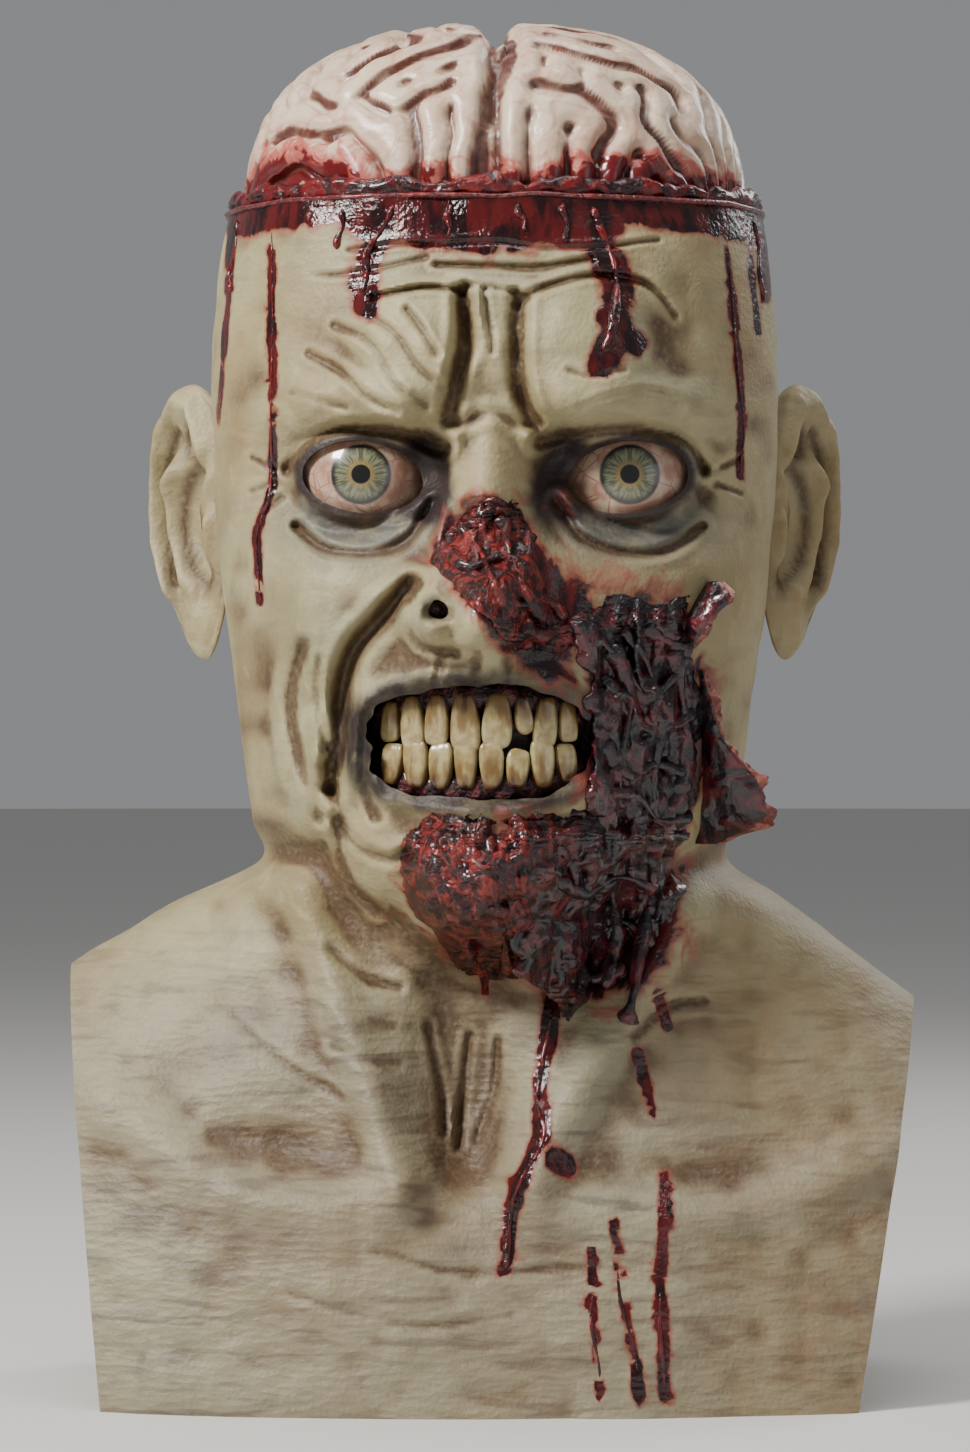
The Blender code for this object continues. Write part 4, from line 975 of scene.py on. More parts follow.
# Long stains and runs of blood, as chains of (across, up), with their half width
BLOOD_RUNS = (
    (0.016, ((-0.770, 0.933), (-0.765, 0.780), (-0.763, 0.616), (-0.824, 0.550), (-0.807, 0.458))),
    (0.014, ((-0.922, 0.900), (-0.950, 0.800), (-0.969, 0.718))),
    (0.016, ((0.800, 0.930), (0.850, 0.735), (0.845, 0.630))),
    (0.014, ((0.887, 0.935), (0.910, 0.830))),
    (0.060, ((0.319, 0.960), (0.415, 0.880), (0.400, 0.810), (0.353, 0.772))),
    (0.050, ((-0.380, 0.960), (-0.440, 0.900), (-0.450, 0.850))),
    (0.040, ((0.380, 0.830), (0.480, 0.800))),
    (0.090, ((-0.440, 0.975), (-0.100, 0.955), (0.360, 0.965))),
    (0.070, ((-0.950, 0.985), (-0.700, 0.985), (-0.400, 1.0))),
    (0.070, ((0.360, 0.990), (0.700, 0.985), (0.950, 0.975))),
    (0.024, ((-0.930, 0.960), (-0.930, 0.890))),
    (0.026, ((0.940, 0.960), (0.945, 0.880))),
    (0.030, ((0.202, -0.085), (0.151, -0.204), (0.158, -0.256), (0.067, -0.329), (0.034, -0.435))),
    (0.020, ((0.487, -0.151), (0.538, -0.230))),
    (0.014, ((0.590, -0.266), (0.598, -0.274))),
    (0.022, ((0.582, -0.316), (0.560, -0.440), (0.572, -0.600))),
    (0.016, ((0.326, -0.408), (0.330, -0.480), (0.353, -0.600))),
    (0.020, ((0.403, -0.369), (0.430, -0.460), (0.487, -0.600))),
    (0.020, ((0.555, -0.071), (0.595, -0.118))),
    (0.045, ((0.200, -0.285), (0.235, -0.295))),
    (0.020, ((-0.034, -0.020), (-0.034, -0.072))),
)
# Blurred patches of blood round the wounds: across, up, width, height, strength
BLOOD_PATCHES = (
    (-0.020, 0.520, 0.190, 0.075, 1.0),
    (0.130, 0.450, 0.200, 0.060, 1.0),
    (-0.060, 0.080, 0.260, 0.085, 1.0),
    (0.510, 0.290, 0.240, 0.185, 1.0),
    (0.360, 0.040, 0.290, 0.120, 1.1),
    (0.150, 0.380, 0.110, 0.050, 0.6),
    (0.060, 0.020, 0.200, 0.070, 0.8),
    (-0.520, 0.480, 0.100, 0.040, 0.15),
    (0.250, 0.600, 0.060, 0.030, 0.35),
)
# Blurred patches of painted shade in the eye sockets, beside and under the nose, round the mouth, in the
# cheek creases and under the torn cheek: across, up, width, height, strength
SHADE_PATCHES = (
    (-0.245, 0.622, 0.095, 0.055, 0.95),
    (0.235, 0.622, 0.095, 0.055, 0.95),
    (-0.450, 0.615, 0.285, 0.076, 0.62),
    (0.450, 0.615, 0.285, 0.076, 0.66),
    (-0.185, 0.560, 0.060, 0.060, 0.42),
    (0.150, 0.560, 0.070, 0.060, 0.55),
    (-0.290, 0.500, 0.050, 0.050, 0.20),
    (-0.500, 0.330, 0.050, 0.110, 0.22),
    (0.000, 0.655, 0.110, 0.016, 0.25),
    (-0.205, 0.445, 0.050, 0.022, 0.75),
    (-0.330, 0.445, 0.030, 0.040, 0.40),
    (-0.100, 0.500, 0.080, 0.020, 0.25),
    (-0.020, 0.268, 0.400, 0.095, 0.42),
    (-0.598, 0.490, 0.095, 0.035, 0.26),
    (0.550, 0.300, 0.230, 0.180, 0.60),
)


def patches(across, up, spots):
    """Sum of blurred patches on the face."""
    total = 0.0
    for c_across, c_up, width, height, strength in spots:
        reach = ((across - c_across) / width) ** 2 + ((up - c_up) / height) ** 2
        total = total + strength * np.exp(-(reach**1.6))
    return total


def blood_share(x, z):
    """How bloody the skin is at (x, z) on its front."""
    across, up = face_share(x, z)
    total = patches(across, up, BLOOD_PATCHES)
    for width, points in BLOOD_RUNS:
        nearest = along_chain(across, up, points)
        total = np.maximum(total, 1.15 * np.exp(-((nearest / width) ** 2)))
    return total


def lid_span(x, z, side, centre):
    """0 at the middle of the gap between the lids, 1 at its edge: an almond that dips to the nose."""
    out = side * (x - centre.x) / 0.0205
    lift = (z - centre.z - 0.0015 * out + 0.0006) / np.where(z > centre.z, 0.0128, 0.0118)
    return (np.abs(out) ** 1.8 + np.abs(lift) ** 2.1) ** (1 / 1.95)


def sculpted_y(x, z, smooth_y):
    """The face with thick rims on its lids."""
    y = face_y(x, z, smooth_y)
    for side, centre in zip((-1, 1), eye_centres()):
        rim = lid_span(x, z, side, centre)
        y = y - 0.0013 * np.exp(-(((rim - 1.13) / 0.12) ** 2))
        y = y + 0.0010 * np.exp(-(((rim - 1.42) / 0.10) ** 2))
    return y


def outer_point(turn, z):
    """Point of the skin, with a soft unevenness all round."""
    x, y, weight = superellipse(turn, *form_at(z), squareness_at(z))
    spots = np.stack((x, y, z), axis=-1)
    rough = 0.0009 * noise(spots, 0.030, 21) + 0.0004 * noise(spots, 0.010, 23)
    nape = 0.0012 * np.sin(z / 0.0052 + 5 * x / HALF) * np.exp(-(((z - 0.165) / 0.022) ** 2)) * (1 - weight)
    out = 1 + (rough + nape) * (1 - weight) / np.hypot(x, y)
    return x * out, y * out + (sculpted_y(x, z, y) - y) * weight, z - shoulder_drop(x, z)


def head_form(name, columns, row_count, crowding=0.55):
    """Closed sculpted head, neck and chest, running past the scalp edge and the lower edge."""
    low, high = -OVERRUN, RIM_HEIGHT + OVERRUN
    stops = (0.0, 0.20, 0.84, 1.0)
    heights = (low, CHIN_HEIGHT - 0.1 * FACE, RIM_HEIGHT - 0.12 * FACE, high)

    def place(column, row):
        return outer_point(column_turn(column, crowding), np.interp(row, stops, heights))

    bm = warped_grid(columns, row_count, place)
    close_ends(bm)
    return finish(bm, name, hidden=True)


def cavity(name):
    """Closed hollow of the mask, straight above the scalp edge."""
    low, high = -2 * OVERRUN, MASK_HEIGHT + OVERRUN
    stops = (0.0, 0.04, 0.16, 0.42, 0.88, 0.94, 1.0)
    heights = (low, 0.0, 0.5 * NECK_HEIGHT, 1.05 * NECK_HEIGHT, RIM_HEIGHT - 0.1 * FACE, RIM_HEIGHT, high)

    def place(column, row):
        return cavity_point(column_turn(column, 0.35), np.interp(row, stops, heights))

    bm = warped_grid(*HOLLOW_GRID, place)
    close_ends(bm)
    return finish(bm, name, hidden=True)


def arm_hole(name, side, base_half):
    """Cutter for one arm hole: everything outside the slanting cut edge."""
    far = CHEST_WIDTH
    cutter = box(name, (0, -far, -far), (far, far, far))
    lean = math.atan2(SHOULDER_HALF - base_half, NECK_HEIGHT * 0.79)
    turn = Matrix.Rotation(lean, 4, "Y")
    if side < 0:
        turn = Matrix.Rotation(-lean, 4, "Y") @ Matrix.Rotation(math.pi, 4, "Z")
    cutter.data.transform(Matrix.Translation((side * base_half, 0, 0)) @ turn)
    bm = bmesh.new()
    bm.from_mesh(cutter.data)
    everything = bm.verts[:] + bm.edges[:] + bm.faces[:]
    top = (0, 0, NECK_HEIGHT)
    bmesh.ops.bisect_plane(bm, geom=everything, plane_co=top, plane_no=(0, 0, 1), clear_outer=True)
    close_ends(bm)
    bm.to_mesh(cutter.data)
    bm.free()
    return cutter


EAR_RIDGES = (
    # rise, width, points as (out, height)
    (0.55, 0.11, (
        (-0.50, 0.42), (-0.30, 0.80), (0.10, 0.90),
        (0.52, 0.76), (0.80, 0.36), (0.82, 0.00), (0.66, -0.38)
    )),
    (0.42, 0.12, ((0.05, 0.62), (0.36, 0.34), (0.42, -0.02), (0.26, -0.36), (0.02, -0.48))),
    (0.26, 0.09, ((-0.36, 0.36), (0.05, 0.44), (0.36, 0.34))),
    (0.34, 0.10, ((-0.62, 0.20), (-0.36, 0.10), (-0.22, 0.08))),
    (0.50, 0.12, ((-0.52, -0.12), (-0.46, -0.28))),
    (-0.62, 0.20, ((-0.24, 0.24), (-0.02, 0.10), (0.10, -0.06), (-0.02, -0.26), (-0.22, -0.30))),
    (-0.45, 0.09, ((-0.20, 0.58), (0.20, 0.66), (0.56, 0.42), (0.62, 0.02), (0.50, -0.30))),
    (-0.30, 0.08, ((-0.14, 0.52), (0.14, 0.50))),
)


def ear_front(out, height):
    """How far the ear's front stands out at a spot, in ear thicknesses."""
    total = 0.0 * out
    for rise, width, points in EAR_RIDGES:
        nearest = np.full(np.shape(out), 9.0)
        for (x0, z0), (x1, z1) in zip(points, points[1:]):
            dx, dz = x1 - x0, z1 - z0
            t = np.clip(((out - x0) * dx + (height - z0) * dz) / (dx * dx + dz * dz), 0, 1)
            nearest = np.minimum(nearest, np.hypot(out - x0 - t * dx, height - z0 - t * dz))
        total = total + rise * np.exp(-((nearest / width) ** 2))
    lobe = np.exp(-(((out - 0.05) / 0.42) ** 2 + ((height + 0.76) / 0.20) ** 2))
    return total + 0.30 * lobe


def ear_matrix(side):
    """Where an ear model lies on the head."""
    root = Vector((side * (HALF - 0.13 * EAR_WIDTH), 0, EAR_LEVEL))
    turn = Matrix.Rotation(side * math.radians(EAR_ANGLE), 4, "Z")
    lean = Matrix.Rotation(side * math.radians(EAR_LEAN), 4, "Y")
    flip = Matrix.Scale(side, 4, (1, 0, 0))
    out = Matrix.Translation((side * EAR_WIDTH * 0.42, 0, 0))
    return Matrix.Translation(root) @ turn @ out @ lean @ flip


def ear(name, side):
    """Closed ear: a leaf-shaped dish with a rolled rim, inner ridges, a bowl and a lobe."""
    bm = bmesh.new()
    bmesh.ops.create_uvsphere(bm, u_segments=120, v_segments=84, radius=1.0)
    spots = np.array([vert.co for vert in bm.verts])
    out, thick, height = spots.T
    narrow = 1.0 - 0.32 * smooth_step(0.1, -1.0, height)
    front = smooth_step(0.10, -0.25, thick)
    detail = ear_front(out, height) + 0.08 * noise(spots, 0.30, 31) + 0.05 * noise(spots, 0.12, 33)
    lift = 1.35 * detail * front + 0.30 * detail * (1 - front)
    x = out * narrow * EAR_WIDTH / 2
    y = (thick * (0.75 - 0.15 * front) / 1.4 - lift) * EAR_THICKNESS
    z = height * EAR_HEIGHT / 2 - 0.10 * EAR_WIDTH * out * narrow
    for vert, point in zip(bm.verts, zip(x.tolist(), y.tolist(), z.tolist())):
        vert.co = point
    bmesh.ops.transform(bm, matrix=ear_matrix(side), verts=bm.verts)
    return finish(bm, name, hidden=True)


def ball(name, centre, radius, columns=24, rows=16):
    """Sphere with its pole looking forward."""
    bm = bmesh.new()
    bmesh.ops.create_uvsphere(bm, u_segments=columns, v_segments=rows, radius=radius)
    bmesh.ops.rotate(bm, matrix=Matrix.Rotation(math.pi / 2, 3, "X"), verts=bm.verts)
    bmesh.ops.translate(bm, vec=centre, verts=bm.verts)
    return finish(bm, name, hidden=True)


def lid_opening(name, side, centre):
    """Cutter for the almond gap between the lids."""
    bm = bmesh.new()
    bmesh.ops.create_cone(bm, cap_ends=True, segments=72, radius1=1.0, radius2=1.0, depth=1.0)
    for vert in bm.verts:
        turn = math.atan2(vert.co.y, vert.co.x)
        reach = 0.02
        for _ in range(40):
            x = centre.x + reach * math.cos(turn)
            z = centre.z + reach * math.sin(turn)
            reach /= float(lid_span(x, z, side, centre)) ** 0.5
        depth = centre.y - (0.30 if vert.co.z > 0 else 2.4) * EYE_RADIUS
        vert.co = (centre.x + reach * math.cos(turn), depth, centre.z + reach * math.sin(turn))
    return finish(bm, name, hidden=True)


def arch_point(share, set_back):
    """X and Y on the dental arch at a share of its half width, set back from the muzzle."""
    x = MOUTH_ACROSS + share * MOUTH_WIDTH / 2
    return x, muzzle_y(np.array(x), MOUTH_HEIGHT + 0 * np.array(x)) + set_back


def mouth_cutter():
    """Cutter for the mouth, with a wavering edge and a floor that follows the dental arch."""
    bm = bmesh.new()
    bmesh.ops.create_cone(bm, cap_ends=True, segments=120, radius1=1.0, radius2=1.0, depth=1.0)
    side_edges = [e for e in bm.edges if abs(e.verts[0].co.z - e.verts[1].co.z) > 0.5]
    bmesh.ops.subdivide_edges(bm, edges=side_edges, cuts=6)
    caps = [face for face in bm.faces if len(face.verts) > 4]
    bmesh.ops.poke(bm, faces=caps)
    for vert in bm.verts:
        radius = math.hypot(vert.co.x, vert.co.y)
        turn = math.atan2(vert.co.y, vert.co.x)
        c, s = math.cos(turn), math.sin(turn)
        edge = (abs(c) ** 2.6 + abs(s) ** 2.6) ** (-1 / 2.6)
        edge *= 1 + 0.030 * math.sin(5 * turn + 1) + 0.018 * math.sin(11 * turn) + 0.012 * math.sin(23 * turn)
        x = MOUTH_ACROSS + radius * edge * c * MOUTH_WIDTH / 2
        z = MOUTH_HEIGHT + radius * edge * s * MOUTH_OPEN / 2
        behind = vert.co.z + 0.5
        back = float(muzzle_y(np.array(x), np.array(MOUTH_HEIGHT))) + MOUTH_DEEP
        front = -0.19
        vert.co = (x, front + (back - front) * behind, z)
    return finish(bm, "mouth_opening", hidden=True)


def nostril():
    """Cutter for the nostril that is left."""
    bm = bmesh.new()
    bmesh.ops.create_uvsphere(bm, u_segments=32, v_segments=20, radius=1.0)
    bmesh.ops.scale(bm, vec=(0.0040, 0.0042, 0.0034), verts=bm.verts)
    bmesh.ops.rotate(bm, matrix=Matrix.Rotation(0.5, 3, "Y"), verts=bm.verts)
    x, z = -0.0195, 0.2710
    bmesh.ops.translate(bm, vec=(x, float(skin_y(x, z)) + 0.0006, z), verts=bm.verts)
    return finish(bm, "nostril", hidden=True)


def tint_skin(piece):
    """Stores the washes, stains and painted shade of the painted skin."""
    x, y, z = points_of(piece).T
    z_form = z + shoulder_drop(x, z)
    front = smooth_step(0.010, -0.020, y)
    ragged = 0.030 * noise(np.stack((x, y, z), axis=-1), 0.020, 43, 3)
    facing = smooth_step(0.004, -0.014, y + 0.018 + ragged)
    across, up = face_share(x, z_form)
    fine = on_map(FINE_HOLLOWS, x, z_form)
    wide = on_map(WIDE_HOLLOWS, x, z_form)
    spots = np.stack((x, y, z), axis=-1)
    cloud = noise(spots, 0.040, 41, 3)
    # Brown in the fine and wide hollows and in the folds of the ears: washed-in paint and painted shade
    wash_and_shade = smooth_step(0.00006, 0.00065, fine) * 0.66 + smooth_step(0.0002, 0.0024, wide) * 0.52
    turned_in = np.array([ear_fold_wash_and_shade(side, x, y, z) for side in (-1, 1)]).max(axis=0)
    tint(piece, "wash_and_shade", np.clip(wash_and_shade * front, 0, 0.92) + turned_in * (1 - wash_and_shade * front))
    # Yellow-brown tint at random, with painted shade added in the wide hollows and towards the +X side of the
    # face
    ochre_and_shade = 0.30 + 0.45 * cloud + 0.35 * smooth_step(0.45, 0.95, across) + np.clip(wide / 0.004, 0, 0.4)
    ochre_and_shade = ochre_and_shade + patches(across, up, ((-0.30, 0.10, 0.30, 0.10, 0.4), (0.0, 0.60, 0.20, 0.08, 0.35)))
    tint(piece, "ochre_and_shade", np.clip(ochre_and_shade * 0.62, 0, 0.75))
    bag = patches(across, up, ((-0.45, 0.568, 0.29, 0.060, 1.0), (0.45, 0.568, 0.29, 0.060, 1.0)))
    bag = bag + patches(across, up, ((-0.50, 0.420, 0.20, 0.050, 0.25), (0.0, 0.90, 0.50, 0.030, 0.15)))
    low_neck = smooth_step(0.05, -0.25, up)
    tint(piece, "bag", np.clip(bag * front + 0.20 * low_neck, 0, 0.85))
    flowing = np.stack((x * 0.5, y * 0.5, z * 1.6), axis=-1)
    bruise = smooth_step(0.05, 0.75, noise(flowing, 0.030, 47, 4)) * (0.15 + 0.50 * low_neck)
    tint(piece, "bruise", np.clip(bruise, 0, 0.6))
    # Near-black over the lips, with painted shade at the lid rims and in the shade patches
    lips = smooth_step(1.50, 1.12, mouth_span(across, up)) * 0.72
    lids = 0.0
    for side, centre in zip((-1, 1), eye_centres()):
        lids = lids + 0.85 * smooth_step(1.32, 1.02, lid_span(x, z, side, centre))
    dark = np.maximum(patches(across, up, SHADE_PATCHES), np.maximum(lips, lids)) * front
    tint(piece, "dark", np.clip(dark, 0, 1))
    tint(piece, "blood", np.clip(blood_share(x, z) * facing + rim_blood(x, y, z), 0, 1.3))
    tint(piece, "dry", 0.25 + 0.75 * smooth_step(0.10, -0.20, up))


def ear_fold_wash_and_shade(side, x, y, z):
    """Darkening in the folds of an ear, both washed-in paint and painted shade."""
    inverse = ear_matrix(side).inverted()
    spots = np.stack((x, y, z, 0 * x + 1), axis=-1) @ np.array(inverse).T
    out = spots[:, 0] / (EAR_WIDTH / 2)
    height = (spots[:, 2] + 0.10 * EAR_WIDTH * out) / (EAR_HEIGHT / 2)
    near = smooth_step(1.15, 1.0, np.hypot(out, height)) * smooth_step(0.012, 0.008, np.abs(spots[:, 1]))
    near = near * smooth_step(0.0015, -0.0010, spots[:, 1])
    fold = np.clip(-ear_front(out, height) * 3.4 + 0.45, 0, 0.98)
    return near * fold


def rim_blood(x, y, z):
    """Blood that has run down from the brain all round the scalp edge."""
    turn = np.arctan2(x, -y)
    spots = np.stack((np.sin(turn) * 0.1, np.cos(turn) * 0.1, 0 * turn), axis=-1)
    reach = 0.006 + 0.012 * np.clip(noise(spots, 0.018, 53, 3) + 0.2, 0, 1)
    return 1.1 * smooth_step(RIM_HEIGHT - reach, RIM_HEIGHT - 0.25 * reach, z)


def build_skin():
    """The mask's sculpted skin with its ears, hollow and openings."""
    painted = painted_latex()
    skin = head_form("head_skin", *SKIN_GRID)
    thin(skin, SKIN_FACES)
    skin.data.materials.append(painted)
    for name, side in (("ear_left", -1), ("ear_right", 1)):
        model = ear(name, side)
        model.data.materials.append(painted)
        combine(skin, model, "UNION")
    inside = plain_latex()
    hollow = cavity("head_hollow")
    hollow.data.materials.append(inside)
    combine(skin, hollow)
    far = CHEST_WIDTH
    cutters = [
        box("above_scalp_edge", (-far, -far, RIM_HEIGHT), (far, far, RIM_HEIGHT + far)),
        box("below_lower_edge", (-far, -far, -far), (far, far, 0)),
        arm_hole("arm_hole_left", -1, BASE_LEFT),
        arm_hole("arm_hole_right", 1, BASE_RIGHT),
    ]
    for cutter in cutters:
        cutter.data.materials.append(inside)
    for number, (side, centre) in enumerate(zip((-1, 1), eye_centres())):
        cutters.append(lid_opening(f"lid_opening_{number}", side, centre))
        cutters[-1].data.materials.append(painted)
        cutters.append(ball(f"eye_seat_{number}", centre, EYE_RADIUS + EYE_CLEARANCE, 48, 32))
        cutters[-1].data.materials.append(inside)
    wet = wet_material("mouth_lining", (0.070, 0.016, 0.018, 1), (0.010, 0.003, 0.004, 1), 0.3)
    for cutter in (mouth_cutter(), nostril()):
        cutter.data.materials.append(wet)
        cutters.append(cutter)
    for cutter in cutters:
        combine(skin, cutter)
    tint_skin(skin)
    smooth_by_angle(skin)
    return skin


def smooth_by_angle(piece, degrees=CREASE_ANGLE):
    """Shades smooth, but keeps cut edges crisp."""
    bm = bmesh.new()
    bm.from_mesh(piece.data)
    for face in bm.faces:
        face.smooth = True
    limit = math.radians(degrees)
    for edge in bm.edges:
        edge.smooth = edge.calc_face_angle(0.0) < limit
    bm.to_mesh(piece.data)
    bm.free()


# Brain

# Sulci that the folded pattern loosely follows: chains of (right, front) on the dome,
# in degrees away from the top
SULCI = (
    ((-12, 8), (-22, 18), (-20, 30), (-34, 36)),
    ((-6, 30), (-18, 42), (-34, 50), (-30, 62)),
    ((-10, 60), (-24, 66), (-22, 78)),
    ((-40, 14), (-48, 30), (-44, 46)),
    ((-48, 58), (-56, 44), (-66, 36)),
    ((-26, -8), (-44, -6), (-62, 6)),
    ((8, 18), (24, 16), (40, 24)),
    ((8, 38), (26, 40), (38, 34), (50, 38)),
    ((8, 58), (22, 56), (34, 62), (30, 76)),
    ((40, 44), (46, 58), (58, 62)),
    ((54, 20), (62, 34), (74, 40)),
    ((24, -6), (42, -4), (58, 8)),
)
FISSURE_DEPTH = 0.0055
FISSURE_WIDTH = 0.0034
DOME_POWER = 0.8
FOLD_MAP = 264
FOLD_STEP = 0.75


def folded_pattern(spacing=10.4, rounds=420):
    """Meandering folds over the dome, about -1 in the grooves and 1 on the crests.

    Stripes of one spacing grow from random specks, held down along the sulci and the middle line.
    """
    half = FOLD_MAP * FOLD_STEP / 2
    axis = np.arange(FOLD_MAP) * FOLD_STEP - half
    right, front = np.meshgrid(axis, axis)
    held = -1.6 * np.exp(-((right / 2.6) ** 2))
    for points in SULCI:
        nearest = np.full(right.shape, 99.0)
        for (x0, y0), (x1, y1) in zip(points, points[1:]):
            dx, dy = x1 - x0, y1 - y0
            t = np.clip(((right - x0) * dx + (front - y0) * dy) / (dx * dx + dy * dy), 0, 1)
            nearest = np.minimum(nearest, np.hypot(right - x0 - t * dx, front - y0 - t * dy))
        held = np.minimum(held, -0.55 * np.exp(-((nearest / 2.6) ** 2)))
    rate = np.fft.fftfreq(FOLD_MAP, FOLD_STEP)
    wave = np.hypot(*np.meshgrid(rate, rate)) * spacing
    growth = 0.35 - (1 - wave**2) ** 2
    field = 0.2 * np.random.default_rng(11).standard_normal(right.shape)
    for _ in range(rounds):
        push = np.fft.fft2(field + 0.5 * (held - field**3 + 0.12 * field**2))
        field = np.real(np.fft.ifft2(push / (1 - 0.5 * growth)))
    return field / np.percentile(np.abs(field), 92)


FOLD_PATTERN = folded_pattern()


def fold_at(right, front):
    """Value of the folded pattern at degrees from the top of the dome."""
    half = FOLD_MAP * FOLD_STEP / 2
    column = np.clip((right + half) / FOLD_STEP, 0, FOLD_MAP - 1.001)
    row = np.clip((front + half) / FOLD_STEP, 0, FOLD_MAP - 1.001)
    i, j = column.astype(int), row.astype(int)
    u, v = column - i, row - j
    low = FOLD_PATTERN[j, i] * (1 - u) + FOLD_PATTERN[j, i + 1] * u
    high = FOLD_PATTERN[j + 1, i] * (1 - u) + FOLD_PATTERN[j + 1, i + 1] * u
    return low * (1 - v) + high * v


def dome_point(turn, rise):
    """Point of the folded dome with its groove share, at a turn and degrees above the scalp edge."""
    half, front, back = (size - WALL - BRAIN_LEDGE for size in form_at(RIM_HEIGHT))
    height = MASK_HEIGHT - RIM_HEIGHT
    up = np.radians(rise)
    x, y, _ = superellipse(turn, half, front, back, squareness_at(RIM_HEIGHT))
    x, y = x * np.cos(up) ** DOME_POWER, y * np.cos(up) ** DOME_POWER
    z = RIM_HEIGHT + height * np.sin(up) ** DOME_POWER
    right = (90 - rise) * np.sin(turn)
    ahead = (90 - rise) * np.cos(turn)
    spots = np.stack((x, y, z), axis=-1)
    shift_right = 2.2 * noise(spots, 0.014, 61, 2) + 5.0 * noise(spots, 0.026, 63)
    shift_ahead = 2.2 * noise(spots, 0.014, 67, 2) + 5.0 * noise(spots, 0.026, 69)
    value = fold_at(right + shift_right, ahead + shift_ahead)
    groove = smooth_step(-0.46, -1.02, value)
    fissure = np.exp(-((x + 0.0012 * np.sin(y / 0.012)) ** 2) / FISSURE_WIDTH**2)
    depth = 0.0034 * groove + 0.0014 * smooth_step(0.9, -0.5, value)
    depth = depth + FISSURE_DEPTH * fissure + 0.0005 * noise(spots, 0.007, 71)
    away = np.hypot(x / half, y / front) + 1e-6
    level = np.sin(up)
    x = x - x / half / away * depth * (1 - level)
    y = y - y / front / away * depth * (1 - level)
    # Darkness of the grooves and the fissure, which the brain's colour uses as dark paint and painted shade
    dark = np.clip(groove**1.5 + smooth_step(0.45, 0.95, fissure), 0, 1)
    return x, y, z - depth * level, dark


def build_brain():
    """Folded brain, hollow, standing on the scalp edge."""

    def outside(column, row):
        turn = column_turn(column, 0.25)
        x, y, z, _ = dome_point(turn, 90 * row)
        return x, y, z

    bm = warped_grid(*BRAIN_GRID, outside)
    brain = finish(bm, "folded_brain")
    spots = points_of(brain)
    x, y, z = spots.T
    half, front, back = (size - WALL - BRAIN_LEDGE for size in form_at(RIM_HEIGHT))
    height = MASK_HEIGHT - RIM_HEIGHT
    share = np.clip((z - RIM_HEIGHT) / height, 0, 1) ** (1 / DOME_POWER)
    turn = dome_turn(x, y, half, front, back)
    tint_brain(brain, x, y, z, turn, np.degrees(np.arcsin(np.clip(share, 0, 1))))
    solid = brain.modifiers.new("wall", "SOLIDIFY")
    solid.thickness = BRAIN_WALL
    solid.offset = -1
    settle(brain)
    brain.data.materials.append(brain_latex())
    return brain


def dome_turn(x, y, half, front, back):
    """Angle of a dome point from straight ahead."""
    power = squareness_at(RIM_HEIGHT) / 2
    side = np.sign(x) * np.abs(x / half) ** power
    ahead = -np.sign(y) * np.abs(y / np.where(y < 0, front, back)) ** power
    return np.arctan2(side, ahead)


def tint_brain(brain, x, y, z, turn, rise):
    """Stores the dark grooves, with their painted shade, and the bloody patches."""
    _, _, _, dark = dome_point(turn, rise)
    spots = np.stack((x, y, z), axis=-1)
    tint(brain, "groove", np.clip(dark, 0, 1))
    foot = smooth_step(0.020, 0.002, z - RIM_HEIGHT + 0.006 * noise(spots, 0.012, 73, 3))
    left = np.exp(-(((x + 0.072) / 0.022) ** 2) - ((z - 0.424) / 0.014) ** 2) * smooth_step(0.0, -0.03, y)
    right = np.exp(-(((x - 0.050) / 0.030) ** 2) - ((z - 0.418) / 0.012) ** 2) * smooth_step(0.0, -0.03, y)
    scattered = 0.55 * smooth_step(0.30, 0.60, noise(spots, 0.022, 79, 3))
    low = smooth_step(0.055, 0.0, z - RIM_HEIGHT)
    blood = 0.85 * foot + 0.75 * left + 0.55 * right + scattered * (0.35 + 0.65 * low) + 0.20 * dark
    tint(brain, "blood", np.clip(blood, 0, 1.1))


def build_ring(gel):
    """Wet bead of blood round the brain, on the scalp edge."""
    half, front, back = form_at(RIM_HEIGHT)
    reach = (WALL + BRAIN_LEDGE) / 2

    def bead(column, row):
        around = 2 * math.pi * row
        turn = column_turn(column, 0.2)
        x, y, _ = superellipse(turn, 1.0, 1.0, 1.0, squareness_at(RIM_HEIGHT))
        place = np.stack((x * 0.1, y * 0.1, 0 * x), axis=-1)
        swollen = 1 + 0.55 * noise(place, 0.011, 83, 3)
        out = np.cos(around)
        wavy = 0.0007 * noise(place + np.stack((0 * x, 0 * x, 0.02 * np.sin(around)), axis=-1), 0.004, 89)
        inset = reach * 1.05 - reach * 0.98 * out * np.minimum(swollen, 1.05) + wavy
        height = 0.0066 * swollen * (0.5 + 0.5 * np.sin(around)) + wavy
        x, y, _ = superellipse(turn, half - inset, front - inset, back - inset, squareness_at(RIM_HEIGHT))
        return x, y, RIM_HEIGHT - 0.0004 + height

    ring = finish(warped_grid(*BEAD_GRID, bead), "blood_bead")
    ring.data.materials.append(gel)
    return ring


